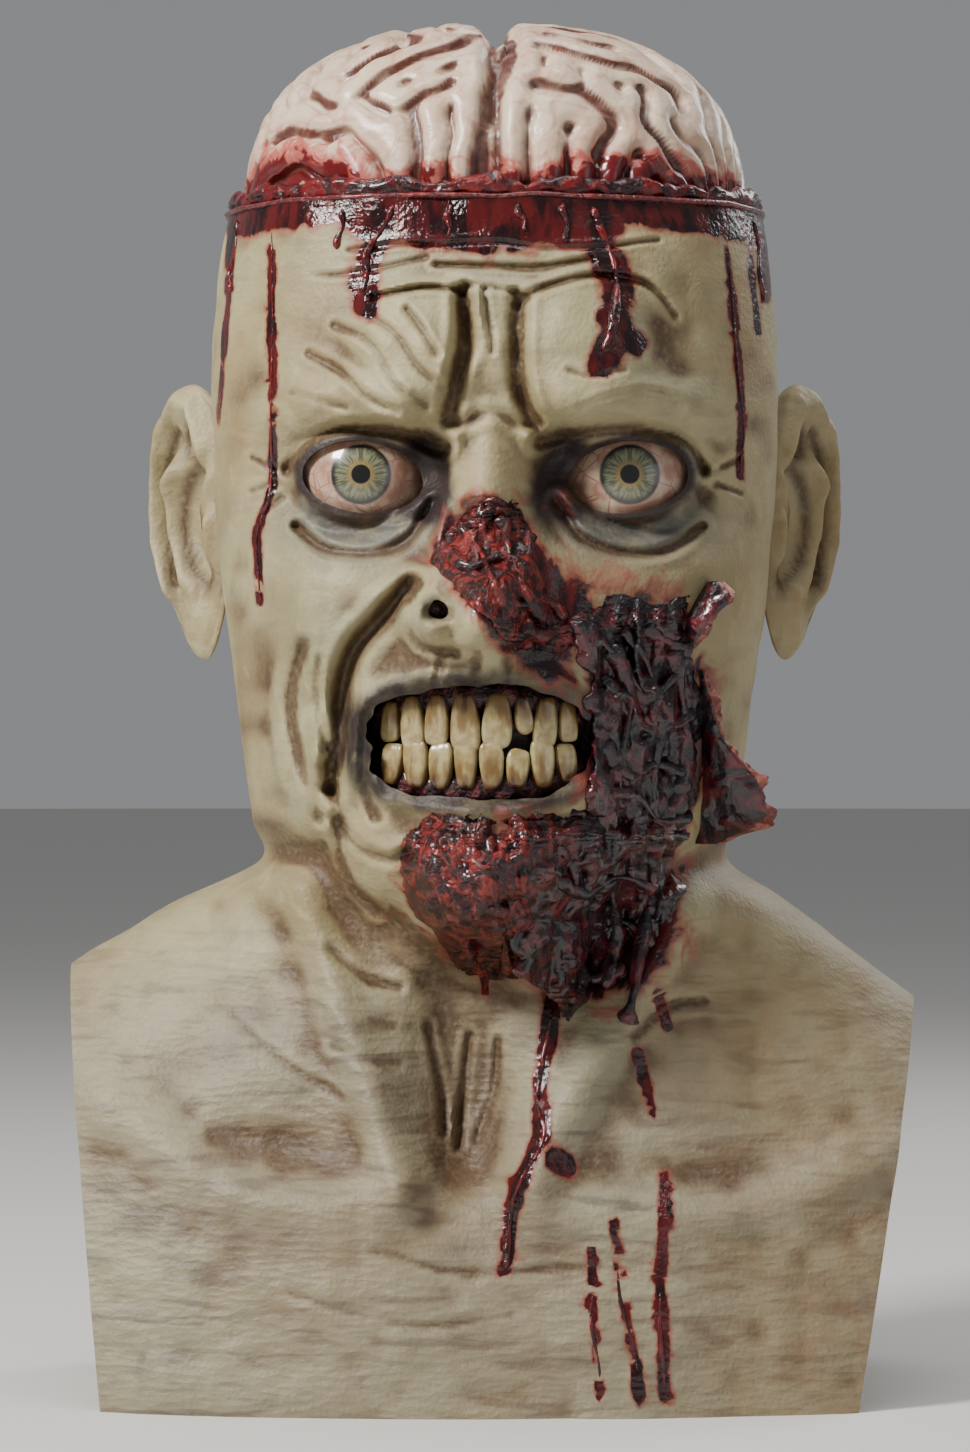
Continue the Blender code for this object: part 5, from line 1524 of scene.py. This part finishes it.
def build_lip(clear):
    """Thin flat lip where the gel meets the skin, with a wavy outer edge."""
    half, front, back = form_at(RIM_HEIGHT)

    def lip(column, row):
        around = 2 * math.pi * row
        turn = column_turn(column, 0.2)
        x, y, _ = superellipse(turn, 1.0, 1.0, 1.0, squareness_at(RIM_HEIGHT))
        place = np.stack((x * 0.1, y * 0.1, 0 * x), axis=-1)
        out = 0.0014 + 0.0005 * noise(place, 0.010, 97, 2)
        inset = 0.0030 - (0.0030 + out) * (0.5 + 0.5 * np.cos(around))
        x, y, _ = superellipse(turn, half - inset, front - inset, back - inset, squareness_at(RIM_HEIGHT))
        return x, y, RIM_HEIGHT + 0.0002 + 0.0011 * np.sin(around) + 0.0006 * noise(place, 0.015, 101)

    ring = finish(warped_grid(*LIP_GRID, lip), "gel_lip")
    ring.data.materials.append(clear)
    return ring


# Eyes, gums and teeth


def build_eye(name, side, centre, gloss):
    """Glossy eyeball looking straight ahead, cut flat at its back."""
    eye = ball(name, centre, EYE_RADIUS, 96, 72)
    bm = bmesh.new()
    bm.from_mesh(eye.data)
    everything = bm.verts[:] + bm.edges[:] + bm.faces[:]
    back = centre + Vector((0, -0.12 * EYE_RADIUS, 0))
    bmesh.ops.bisect_plane(bm, geom=everything, plane_co=back, plane_no=(0, 1, 0), clear_outer=True)
    close_ends(bm)
    bpy.data.objects.remove(eye)
    eye = finish(bm, name)
    spots = points_of(eye)
    across = spots[:, 0] - centre.x - side * 0.0005
    up = spots[:, 2] - centre.z - 0.0008
    tint(eye, "from_pupil", np.hypot(across, up) / IRIS_RADIUS)
    tint(eye, "around_pupil", np.abs(np.arctan2(across, up)))
    eye.data.materials.append(gloss)
    return eye


def build_gum(name, direction, wet):
    """Lumpy gum round the roots of one row of teeth."""
    half = MOUTH_OPEN / 2

    def bar(column, row):
        share = (column * 2 - 1) * 0.92
        around = 2 * math.pi * row
        x, y = arch_point(share, 0.0108)
        fit = np.maximum(1 - np.abs(share * 0.98) ** 2.6, 0) ** (1 / 2.6)
        scallop = 0.0016 * np.cos(share * MOUTH_WIDTH / 0.0088 * math.pi)
        middle = direction * (fit * 0.88 * half - 0.0010)
        tall = (0.0046 + 0.6 * scallop) * np.clip(fit * 1.4, 0.2, 1)
        z = MOUTH_HEIGHT + middle + tall * np.sin(around)
        y = y - 0.0046 * np.cos(around) * np.clip(fit * 1.4, 0.3, 1)
        spots = np.stack((x, y, z), axis=-1)
        return x, y + 0.0009 * noise(spots, 0.004, 103, 2), z + 0.0006 * noise(spots, 0.005, 107)

    bm = warped_grid(*GUM_GRID, bar)
    close_ends(bm)
    gum = finish(bm, name)
    gum.data.materials.append(wet)
    return gum


TEETH = (
    # name, width, lean to the right, level of the biting edge, level of the root, wear
    ("upper_tooth_1", 0.20, 0.10, 0.10, 0.80, 0.10),
    ("upper_tooth_2", 0.25, -0.04, -0.02, 0.84, 0.15),
    ("upper_tooth_3", 0.26, 0.03, 0.06, 0.86, 0.05),
    ("upper_tooth_4", 0.33, -0.02, -0.06, 0.88, 0.12),
    ("upper_tooth_5", 0.34, 0.04, 0.02, 0.88, 0.20),
    ("upper_tooth_6", 0.20, -0.10, 0.24, 0.84, 0.30),
    ("upper_tooth_7", 0.26, 0.05, 0.02, 0.82, 0.10),
    ("upper_tooth_8", 0.20, -0.08, 0.10, 0.76, 0.10),
    ("lower_tooth_1", 0.22, -0.08, -0.10, -0.76, 0.10),
    ("lower_tooth_2", 0.25, 0.05, -0.03, -0.82, 0.10),
    ("lower_tooth_3", 0.25, -0.03, -0.10, -0.84, 0.20),
    ("lower_tooth_4", 0.25, 0.02, -0.02, -0.84, 0.10),
    ("lower_tooth_5", 0.27, 0.04, -0.08, -0.84, 0.15),
    ("lower_tooth_6", 0.25, -0.06, -0.20, -0.82, 0.30),
    ("lower_tooth_7", 0.25, 0.03, -0.04, -0.80, 0.10),
    ("lower_tooth_8", 0.22, 0.08, -0.10, -0.74, 0.10),
)


def build_tooth(name, number, share, width, lean, bite, root, worn, resin):
    """One tooth: crowned front, narrow neck, uneven worn edge and a groove or two."""
    bm = bmesh.new()
    bmesh.ops.create_uvsphere(bm, u_segments=40, v_segments=30, radius=1.0)
    half = MOUTH_OPEN / 2
    fit = max(1 - abs(share * 0.97) ** 2.6, 0) ** (1 / 2.6) - 0.03
    root = math.copysign(min(abs(root), fit), root)
    height = abs(root - bite) * half * 1.14
    toward = math.copysign(1, root)
    spots = np.array([vert.co for vert in bm.verts])
    box_like = np.sign(spots) * np.abs(spots) ** np.array((0.52, 0.62, 0.46))
    sx, sy, sz = box_like.T
    to_root = sz * toward * 0.5 + 0.5
    narrow = 1 - 0.24 * smooth_step(0.35, 1.0, to_root)
    thick = 1 - 0.45 * (1 - to_root) ** 2
    wear = worn * 0.16 * np.sin(3.1 * sx + number) * (1 - to_root)
    ridge = 0.05 * np.cos(7 * sx) * (1 - to_root)
    x = sx * narrow * width / 2 + lean * sz * toward * height / 2
    y = (sy * thick - ridge * (sy < 0)) * 0.0029
    z = (sz + wear) * height / 2
    rough = noise(spots + number, 0.5, 109, 2)
    for vert, point in zip(bm.verts, zip((x + 0.0002 * rough).tolist(), y.tolist(), z.tolist())):
        vert.co = point
    x0, y0 = arch_point(share - 0.03, 0)
    x1, y1 = arch_point(share + 0.03, 0)
    bmesh.ops.rotate(bm, matrix=Matrix.Rotation(math.atan2(y1 - y0, x1 - x0), 3, "Z"), verts=bm.verts)
    x, y = arch_point(share, 0.0045 + 0.0025 + 0.0007 * math.sin(5 * number))
    middle = MOUTH_HEIGHT + (root + bite) / 2 * half - toward * 0.06 * height
    bmesh.ops.translate(bm, vec=(x, float(y), middle), verts=bm.verts)
    tooth = finish(bm, "shaped_" + name)
    tint(tooth, "to_root", to_root)
    tooth.data.materials.append(resin)
    return tooth


def build_teeth(resin):
    """Both rows of teeth, each under the name of the node that it stands for."""
    made = {}
    for row in ("upper", "lower"):
        rows = [entry for entry in TEETH if entry[0].startswith(row)]
        total = sum(entry[1] for entry in rows)
        edge = -0.86
        for number, (name, width, lean, bite, root, worn) in enumerate(rows):
            run = 1.72 * width / total
            share = edge + run / 2
            edge += run
            x0, y0 = arch_point(share - 0.03, 0)
            x1, y1 = arch_point(share + 0.03, 0)
            slope = math.hypot(x1 - x0, y1 - y0) / (x1 - x0)
            across = run * MOUTH_WIDTH / 2 * slope - 0.0005
            seed = number + 10 * (row == "lower")
            made[name] = build_tooth(name, seed, share, across, lean, bite, root, worn, resin)
    return made


# Torn flesh

NOSE_FLESH = (
    # up, left edge, right edge
    (0.395, 0.06, 0.28),
    (0.430, -0.01, 0.25),
    (0.470, -0.10, 0.18),
    (0.500, -0.18, 0.13),
    (0.545, -0.15, 0.11),
    (0.585, -0.03, 0.07),
)
CHEEK_FLESH = (
    # up, left edge, right edge
    (0.105, 0.40, 0.60),
    (0.155, 0.37, 0.64),
    (0.230, 0.34, 0.67),
    (0.330, 0.345, 0.68),
    (0.395, 0.30, 0.64),
    (0.430, 0.28, 0.62),
    (0.460, 0.42, 0.68),
)
CHIN_FLESH = (
    # up, left edge, right edge
    (-0.045, -0.05, 0.16),
    (0.000, -0.17, 0.22),
    (0.040, -0.25, 0.24),
    (0.090, -0.28, 0.25),
    (0.130, -0.27, 0.26),
    (0.168, -0.20, 0.28),
)
JAW_FLESH = (
    # up, left edge, right edge
    (-0.108, 0.29, 0.42),
    (-0.060, 0.16, 0.51),
    (0.000, 0.10, 0.57),
    (0.060, 0.10, 0.60),
    (0.110, 0.12, 0.60),
    (0.150, 0.20, 0.60),
    (0.175, 0.30, 0.58),
)
JAW_HANG = 0.030
NO_HANG = -1.0
CHEEK_FLAP = (
    # up, root across, reach out, lift
    (0.130, 0.69, 0.10, 0.030),
    (0.165, 0.70, 0.24, 0.060),
    (0.215, 0.71, 0.21, 0.080),
    (0.270, 0.71, 0.10, 0.060),
    (0.330, 0.71, 0.05, 0.035),
    (0.365, 0.70, 0.03, 0.020),
)
TEAR_TIP = (
    # up, root across, reach out, lift
    (0.395, 0.64, 0.05, 0.040),
    (0.430, 0.65, 0.10, 0.060),
    (0.465, 0.69, 0.13, 0.075),
    (0.485, 0.73, 0.05, 0.070),
)


def build_flesh(name, rows, lift, hang, wet, seed):
    """Wet, stringy flesh with ragged edges that sink into the skin.

    Below the level hang it leaves the skin and hangs almost straight down.
    """
    ups, lefts, rights = np.array(rows).T

    def place(column, row):
        around = 2 * math.pi * column
        sx = -np.cos(around)
        front = np.sin(around) > 0
        up = ups[0] + (ups[-1] - ups[0]) * row
        tatter = np.stack((0 * up, 0 * up + seed, up * FACE), axis=-1)
        left = smooth_through(ups, lefts, up) + 0.060 * noise(tatter, 0.009, seed, 3) - 0.02
        right = smooth_through(ups, rights, up) + 0.060 * noise(tatter, 0.009, seed + 1, 3) + 0.02
        x = (left + (right - left) * (sx + 1) / 2) * HALF
        fringe = np.stack((x, 0 * up + seed, 0 * up + row), axis=-1)
        ragged = 0.0060 * noise(fringe, 0.007, seed + 2, 3) * np.abs(2 * row - 1) ** 5
        z = CHIN_HEIGHT + up * FACE + ragged
        held = np.maximum(z, CHIN_HEIGHT + hang * FACE)
        y = skin_y(x, held) + 0.3 * (held - z)
        spots = np.stack((x, y * 0.4, z), axis=-1)
        strands = 1 - np.abs(noise(spots * (1.5, 1.0, 0.6), 0.0110, seed + 3, 3)) * 3.0
        threads = 1 - np.abs(noise(spots * (1.0, 1.0, 0.7), 0.0048, seed + 4, 2)) * 2.6
        lumpy = noise(spots, 0.0140, seed + 5, 3)
        thick = np.abs(np.sin(around)) ** 1.1 * smooth_step(0.0, 0.10, row) * smooth_step(1.0, 0.90, row)
        depth = 0.70 + 0.80 * np.clip(strands, -0.9, 1) + 0.35 * np.clip(threads, -0.6, 1) + 1.0 * lumpy
        ahead = lift * thick * depth
        behind = lift * thick * np.where(held - z > 0.002, 0.8, 2.0)
        return x, y + np.where(front, -ahead, behind), z

    bm = warped_grid(*FLESH_GRID, place)
    close_ends(bm)
    flesh = finish(bm, name)
    flesh.data.materials.append(wet)
    return flesh


def tube(points, widths, sides=12, cuts=6, seed=1, knobbly=0.25):
    """Knobbly strand through points, as thick as its widths say, with closed ends."""
    knots = np.linspace(0, 1, len(points))
    fine = np.linspace(0, 1, (len(points) - 1) * cuts + 1)
    line = np.stack([smooth_through(knots, axis, fine) for axis in np.array(points, float).T], axis=-1)
    width = smooth_through(knots, np.array(widths, float), fine)
    ahead = np.gradient(line, axis=0)
    ahead /= np.linalg.norm(ahead, axis=1)[:, None] + 1e-9
    across = np.cross(ahead, (0.0, -1.0, 0.03))
    across /= np.linalg.norm(across, axis=1)[:, None] + 1e-9
    over = np.cross(across, ahead)

    def place(column, row):
        i = np.clip(np.rint(column * (len(fine) - 1)).astype(int), 0, len(fine) - 1)
        around = 2 * math.pi * row
        ring = across[i] * np.cos(around)[:, None] + over[i] * np.sin(around)[:, None]
        swollen = 1 + knobbly * noise(line[i] + ring * 0.002, 0.0035, seed, 2)
        taper = np.sqrt(np.clip(np.minimum(fine[i], 1 - fine[i]) * len(fine) / 2.0, 0.02, 1))
        spot = line[i] + ring * (width[i] * swollen * taper)[:, None]
        return spot.T

    bm = warped_grid(len(fine) - 1, sides, place)
    close_ends(bm)
    return bm


def on_skin(across, up, lift=0.0):
    """Point on the skin's front at face shares, lifted off it."""
    x, z = across * HALF, CHIN_HEIGHT + up * FACE
    return x, float(skin_y(x, z)) - lift, z - float(shoulder_drop(x, z))


# Made-up strands over the wounds: half width and lift off the skin in metres, and (across, up) points
STRANDS = (
    (0.0016, 0.0045, ((0.385, 0.405), (0.455, 0.330), (0.430, 0.250), (0.470, 0.165))),
    (0.0012, 0.0050, ((0.420, 0.425), (0.520, 0.370), (0.560, 0.290), (0.540, 0.200), (0.560, 0.130))),
    (0.0020, 0.0035, ((0.590, 0.400), (0.640, 0.330), (0.650, 0.250), (0.600, 0.170))),
    (0.0010, 0.0055, ((0.360, 0.360), (0.470, 0.300), (0.590, 0.290), (0.680, 0.310))),
    (0.0013, 0.0050, ((0.360, 0.270), (0.450, 0.225), (0.550, 0.240), (0.680, 0.220))),
    (0.0011, 0.0050, ((0.370, 0.200), (0.470, 0.200), (0.560, 0.165), (0.670, 0.170))),
    (0.0009, 0.0060, ((0.340, 0.410), (0.420, 0.380), (0.530, 0.330), (0.650, 0.380))),
    (0.0018, 0.0030, ((0.500, 0.430), (0.580, 0.405), (0.655, 0.395))),
    (0.0014, 0.0045, ((0.440, 0.160), (0.400, 0.080), (0.420, 0.010), (0.380, -0.060))),
    (0.0018, 0.0040, ((0.530, 0.150), (0.540, 0.070), (0.500, 0.000), (0.470, -0.070), (0.450, -0.100))),
    (0.0012, 0.0050, ((0.330, 0.130), (0.300, 0.060), (0.310, -0.010), (0.290, -0.060))),
    (0.0010, 0.0055, ((0.200, 0.090), (0.300, 0.070), (0.420, 0.090), (0.560, 0.070))),
    (0.0011, 0.0050, ((0.200, 0.030), (0.320, 0.010), (0.440, 0.030), (0.550, 0.000))),
    (0.0013, 0.0040, ((0.220, -0.020), (0.330, -0.045), (0.460, -0.030))),
    (0.0012, 0.0035, ((-0.250, 0.120), (-0.150, 0.085), (-0.030, 0.095), (0.120, 0.070))),
    (0.0015, 0.0030, ((-0.230, 0.060), (-0.120, 0.040), (0.000, 0.050), (0.140, 0.020))),
    (0.0012, 0.0035, ((-0.200, 0.140), (-0.180, 0.070), (-0.110, 0.010), (-0.080, -0.030))),
    (0.0010, 0.0040, ((-0.020, 0.150), (-0.010, 0.080), (0.030, 0.010), (0.040, -0.040))),
    (0.0011, 0.0035, ((0.100, 0.150), (0.090, 0.080), (0.120, 0.020), (0.090, -0.030))),
    (0.0012, 0.0025, ((-0.170, 0.520), (-0.080, 0.500), (0.020, 0.515), (0.110, 0.495))),
    (0.0010, 0.0030, ((-0.120, 0.555), (-0.050, 0.520), (0.000, 0.470), (0.060, 0.430))),
    (0.0012, 0.0025, ((0.020, 0.570), (0.050, 0.520), (0.090, 0.470), (0.160, 0.430))),
    (0.0010, 0.0030, ((-0.020, 0.465), (0.080, 0.450), (0.180, 0.455), (0.240, 0.430))),
    (0.0013, 0.0025, ((0.080, 0.425), (0.160, 0.410), (0.250, 0.420), (0.330, 0.400))),
)


def build_strands(name, low, high, wet):
    """The charted strands whose first point lies between two corners in face shares."""
    parts = []
    for number, (width, lift, points) in enumerate(STRANDS):
        across, up = points[0]
        if not (low[0] <= across < high[0] and low[1] <= up < high[1]):
            continue
        ends = len(points) - 1
        lifts = [lift * (0.15 if i in (0, ends) else 1.0) for i in range(ends + 1)]
        spots = [on_skin(a, u, rise) for (a, u), rise in zip(points, lifts)]
        swell = [1.3 + 0.7 * math.sin(3 * i + number) for i in range(ends + 1)]
        widths = [width * (3.0 if i in (0, ends) else swell[i]) for i in range(ends + 1)]
        parts.append(tube(spots, widths, 14, 12, number, 0.45))
    strands = finish(gathered(parts), name)
    strands.data.materials.append(wet)
    return strands


def build_flap(name, rows, inner, edge, seed):
    """Torn sheet with a ragged rim that curls forward and out, pink at its torn edge."""
    ups, roots, reaches, lifts = np.array(rows).T

    def sheet_point(column, row):
        up = ups[0] + (ups[-1] - ups[0]) * row
        root = smooth_through(ups, roots, up)
        tatter = np.stack((0 * up, 0 * up + seed, up * FACE), axis=-1)
        ragged = 1 + 0.35 * noise(tatter, 0.0055, seed, 3) * column**2
        x = root - 0.02 + (smooth_through(ups, reaches, up) * ragged + 0.02) * column
        z = CHIN_HEIGHT + up * FACE
        lift = smooth_through(ups, lifts, up) * np.sin(2.2 * column)
        y = skin_y(root * HALF, z) + 0.004 * (1 - column) - HEAD_FRONT * lift
        spots = np.stack((x * HALF, y, z), axis=-1)
        return np.stack((x * HALF, y + 0.0012 * noise(spots, 0.007, seed + 1, 2), z), axis=-1)

    def place(column, row):
        around = 2 * math.pi * column
        share = 0.5 - 0.5 * np.cos(around)
        spot = sheet_point(share, row)
        ahead = sheet_point(share + 0.01, row) - sheet_point(share - 0.01, row)
        out = np.stack((ahead[:, 1], -ahead[:, 0], 0 * row), axis=-1)
        out /= np.linalg.norm(out, axis=1)[:, None] + 1e-9
        thick = 0.0011 * np.sin(around) * (1 + 0.4 * noise(spot, 0.004, seed + 2))
        return (spot + out * thick[:, None]).T

    bm = warped_grid(*FLAP_GRID, place)
    close_ends(bm)
    flap = finish(bm, name)
    flap.data.materials.append(inner)
    flap.data.materials.append(edge)
    rim = points_of(flap)
    for face in flap.data.polygons:
        spot = rim[face.vertices[0]]
        up = (spot[2] - CHIN_HEIGHT) / FACE
        reach = float(smooth_through(ups, roots + reaches, up)) * HALF
        face.material_index = 1 if spot[0] > reach - 0.0022 or face.normal.y > 0.1 else 0
    return flap


# Blood that stands proud of the skin: width at the top and the end in metres, and (across, up) points
DRIPS = (
    (0.0036, 0.0050, ((0.330, 0.985), (0.400, 0.900), (0.410, 0.840), (0.365, 0.785))),
    (0.0030, 0.0040, ((-0.350, 0.985), (-0.425, 0.925), (-0.450, 0.870))),
    (0.0030, 0.0024, ((-0.150, 0.990), (-0.160, 0.945))),
    (0.0030, 0.0030, ((0.080, 0.990), (0.100, 0.950))),
    (0.0028, 0.0030, ((0.230, 0.990), (0.240, 0.935))),
    (0.0024, 0.0030, ((-0.520, 0.985), (-0.540, 0.930))),
    (0.0022, 0.0030, ((-0.900, 0.985), (-0.915, 0.925), (-0.920, 0.885))),
    (0.0026, 0.0036, ((0.900, 0.985), (0.925, 0.915), (0.930, 0.870))),
    (0.0012, 0.0016, ((-0.770, 0.960), (-0.765, 0.780), (-0.763, 0.616), (-0.824, 0.550), (-0.807, 0.458))),
    (0.0012, 0.0016, ((0.800, 0.950), (0.850, 0.735), (0.845, 0.630))),
    (0.0024, 0.0030, ((0.202, -0.075), (0.151, -0.204), (0.158, -0.256), (0.067, -0.329), (0.034, -0.435))),
    (0.0016, 0.0020, ((0.487, -0.151), (0.538, -0.230))),
    (0.0018, 0.0022, ((0.582, -0.316), (0.560, -0.440), (0.572, -0.580))),
    (0.0012, 0.0018, ((0.326, -0.408), (0.330, -0.480), (0.353, -0.570))),
    (0.0015, 0.0020, ((0.403, -0.369), (0.430, -0.460), (0.487, -0.575))),
    (0.0014, 0.0018, ((0.555, -0.071), (0.595, -0.118))),
    (0.0018, 0.0022, ((-0.034, -0.020), (-0.034, -0.072))),
)


def build_drips(gel):
    """Runs of gel that follow the skin, thin at the top and swollen at the end."""
    parts = []
    for number, (top, end, points) in enumerate(DRIPS):
        knots = np.linspace(0, 1, len(points))
        fine = np.linspace(0, 1, 5 * (len(points) - 1) + 1)
        across, up = (smooth_through(knots, axis, fine) for axis in np.array(points).T)
        wander = 0.010 * np.sin(7 * fine + number) * np.sin(math.pi * fine)
        spots = [on_skin(a, u, 0.0) for a, u in zip(across + wander, up)]
        widths = [(top + (end - top) * t**3) * (0.75 + 0.25 * math.cos(9 * t + number)) / 2 for t in fine]
        parts.append(tube(spots, widths, 14, 4, 200 + number, 0.35))
    drips = finish(gathered(parts), "blood_runs")
    drips.data.materials.append(gel)
    return drips


# Studio


def flat_material(name, colour, roughness):
    material, _, shader = new_material(name)
    shader.inputs["Base Color"].default_value = colour
    shader.inputs["Roughness"].default_value = roughness
    return material


def build_floor():
    """Wide pale floor."""
    bm = bmesh.new()
    bmesh.ops.create_circle(bm, cap_ends=True, segments=96, radius=14.0)
    floor = finish(bm, "floor")
    floor.data.materials.append(flat_material("pale_floor", (0.62, 0.61, 0.59, 1), 0.8))


def build_sky():
    """Even pale surroundings."""
    world = bpy.context.scene.world or bpy.data.worlds.new("studio")
    bpy.context.scene.world = world
    world.use_nodes = True
    background = world.node_tree.nodes["Background"]
    background.inputs["Color"].default_value = (0.80, 0.81, 0.83, 1)
    background.inputs["Strength"].default_value = 0.32


def build_light(name, place, target, size, power, colour=(1, 1, 1)):
    """Soft square light at a place, turned to a target."""
    light = bpy.data.lights.new(name, "AREA")
    light.size = size
    light.energy = power
    light.color = colour
    lamp = bpy.data.objects.new(name, light)
    lamp.location = place
    lamp.rotation_euler = (Vector(target) - Vector(place)).to_track_quat("-Z", "Y").to_euler()
    bpy.context.scene.collection.objects.link(lamp)


CAMERA_DISTANCE = 2.0
FRAME_HEIGHT = 0.5126


def build_camera():
    """Camera level with the face, square to it, framing the mask as the photograph does."""
    camera = bpy.data.cameras.new("camera")
    camera.sensor_fit = "VERTICAL"
    camera.angle = 2 * math.atan(FRAME_HEIGHT / 2 / CAMERA_DISTANCE)
    view = bpy.data.objects.new("camera", camera)
    view.location = (-0.0035, -CAMERA_DISTANCE, 0.2326)
    view.rotation_euler = (math.pi / 2, 0, 0)
    bpy.context.scene.collection.objects.link(view)
    bpy.context.scene.camera = view


def place(piece, slot, node):
    """Puts a piece on the mask in place of a CAD node. Its material slot is not used."""
    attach(piece, "root")
    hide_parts(node)


def main():
    gel = wet_material("blood_gel", (0.150, 0.005, 0.006, 1), (0.020, 0.001, 0.002, 1), 0.14, 0.009, 1.0)
    clear = wet_material("gel_film", (0.230, 0.030, 0.030, 1), (0.090, 0.012, 0.014, 1), 0.16, 0.005, 1.0)
    raw = wet_material("raw_flesh", (0.200, 0.016, 0.012, 1), (0.020, 0.003, 0.004, 1), 0.20, 0.005, 0.9)
    dark = wet_material("dark_flesh", (0.095, 0.008, 0.012, 1), (0.005, 0.002, 0.005, 1), 0.12, 0.009, 1.6)
    pink = wet_material("torn_edge", (0.420, 0.150, 0.110, 1), (0.160, 0.030, 0.025, 1), 0.28, 0.004, 0.5)
    gum_red, gum_dark = (0.110, 0.020, 0.022, 1), (0.020, 0.005, 0.008, 1)
    gum_resin = wet_material("gum_resin", gum_red, gum_dark, 0.24, 0.004, 0.9)
    gloss = eye_gloss()
    place(build_skin(), "latex", "skin")
    place(build_brain(), "brain_latex", "brain")
    place(build_ring(gel), "blood_gel", "blood_ring")
    place(build_lip(clear), "blood_gel", "blood_ring")
    for side, name, centre in zip((-1, 1), ("left", "right"), eye_centres()):
        place(build_eye(f"painted_eye_{name}", side, centre, gloss), "eye_acrylic", f"eye_{name}")
    place(build_gum("gum_upper", 1, gum_resin), "gum_resin", "upper_gum")
    place(build_gum("gum_lower", -1, gum_resin), "gum_resin", "lower_gum")
    for name, tooth in build_teeth(tooth_resin()).items():
        place(tooth, "tooth_resin", name)
    place(build_flesh("torn_nose", NOSE_FLESH, 0.0022, NO_HANG, raw, 301), "raw_flesh", "nose_flesh")
    place(build_flesh("torn_cheek", CHEEK_FLESH, 0.0050, NO_HANG, dark, 311), "dark_flesh", "cheek_flesh")
    place(build_flesh("torn_chin", CHIN_FLESH, 0.0044, NO_HANG, raw, 321), "raw_flesh", "chin_flesh")
    place(build_flesh("torn_jaw", JAW_FLESH, 0.0052, JAW_HANG, dark, 331), "dark_flesh", "jaw_flesh")
    place(build_strands("nose_strands", (-0.3, 0.41), (0.3, 0.7), raw), "raw_flesh", "nose_flesh")
    place(build_strands("cheek_strands", (0.3, 0.17), (0.7, 0.5), dark), "dark_flesh", "cheek_flesh")
    place(build_strands("chin_strands", (-0.3, -0.1), (0.15, 0.17), raw), "raw_flesh", "chin_flesh")
    place(build_strands("jaw_strands", (0.15, -0.2), (0.7, 0.17), dark), "dark_flesh", "jaw_flesh")
    place(build_flap("torn_flap", CHEEK_FLAP, dark, pink, 341), "dark_flesh", "cheek_flap")
    place(build_flap("curled_tip", TEAR_TIP, dark, pink, 351), "dark_flesh", "tear_tip")
    place(build_drips(gel), "blood_gel", "skin")
    build_floor()
    build_sky()
    build_light("key", (-1.15, -0.95, 1.40), (0, 0, 0.25), 0.45, 60, (1.0, 0.97, 0.92))
    build_light("fill", (1.6, -1.5, 0.5), (0, 0, 0.22), 1.2, 4, (0.95, 0.97, 1.0))
    build_light("rim", (1.1, 1.2, 1.2), (0, 0, 0.3), 0.8, 12)
    build_light("top", (0.1, -0.3, 1.9), (0, 0, 0.4), 0.7, 10)
    build_camera()


main()
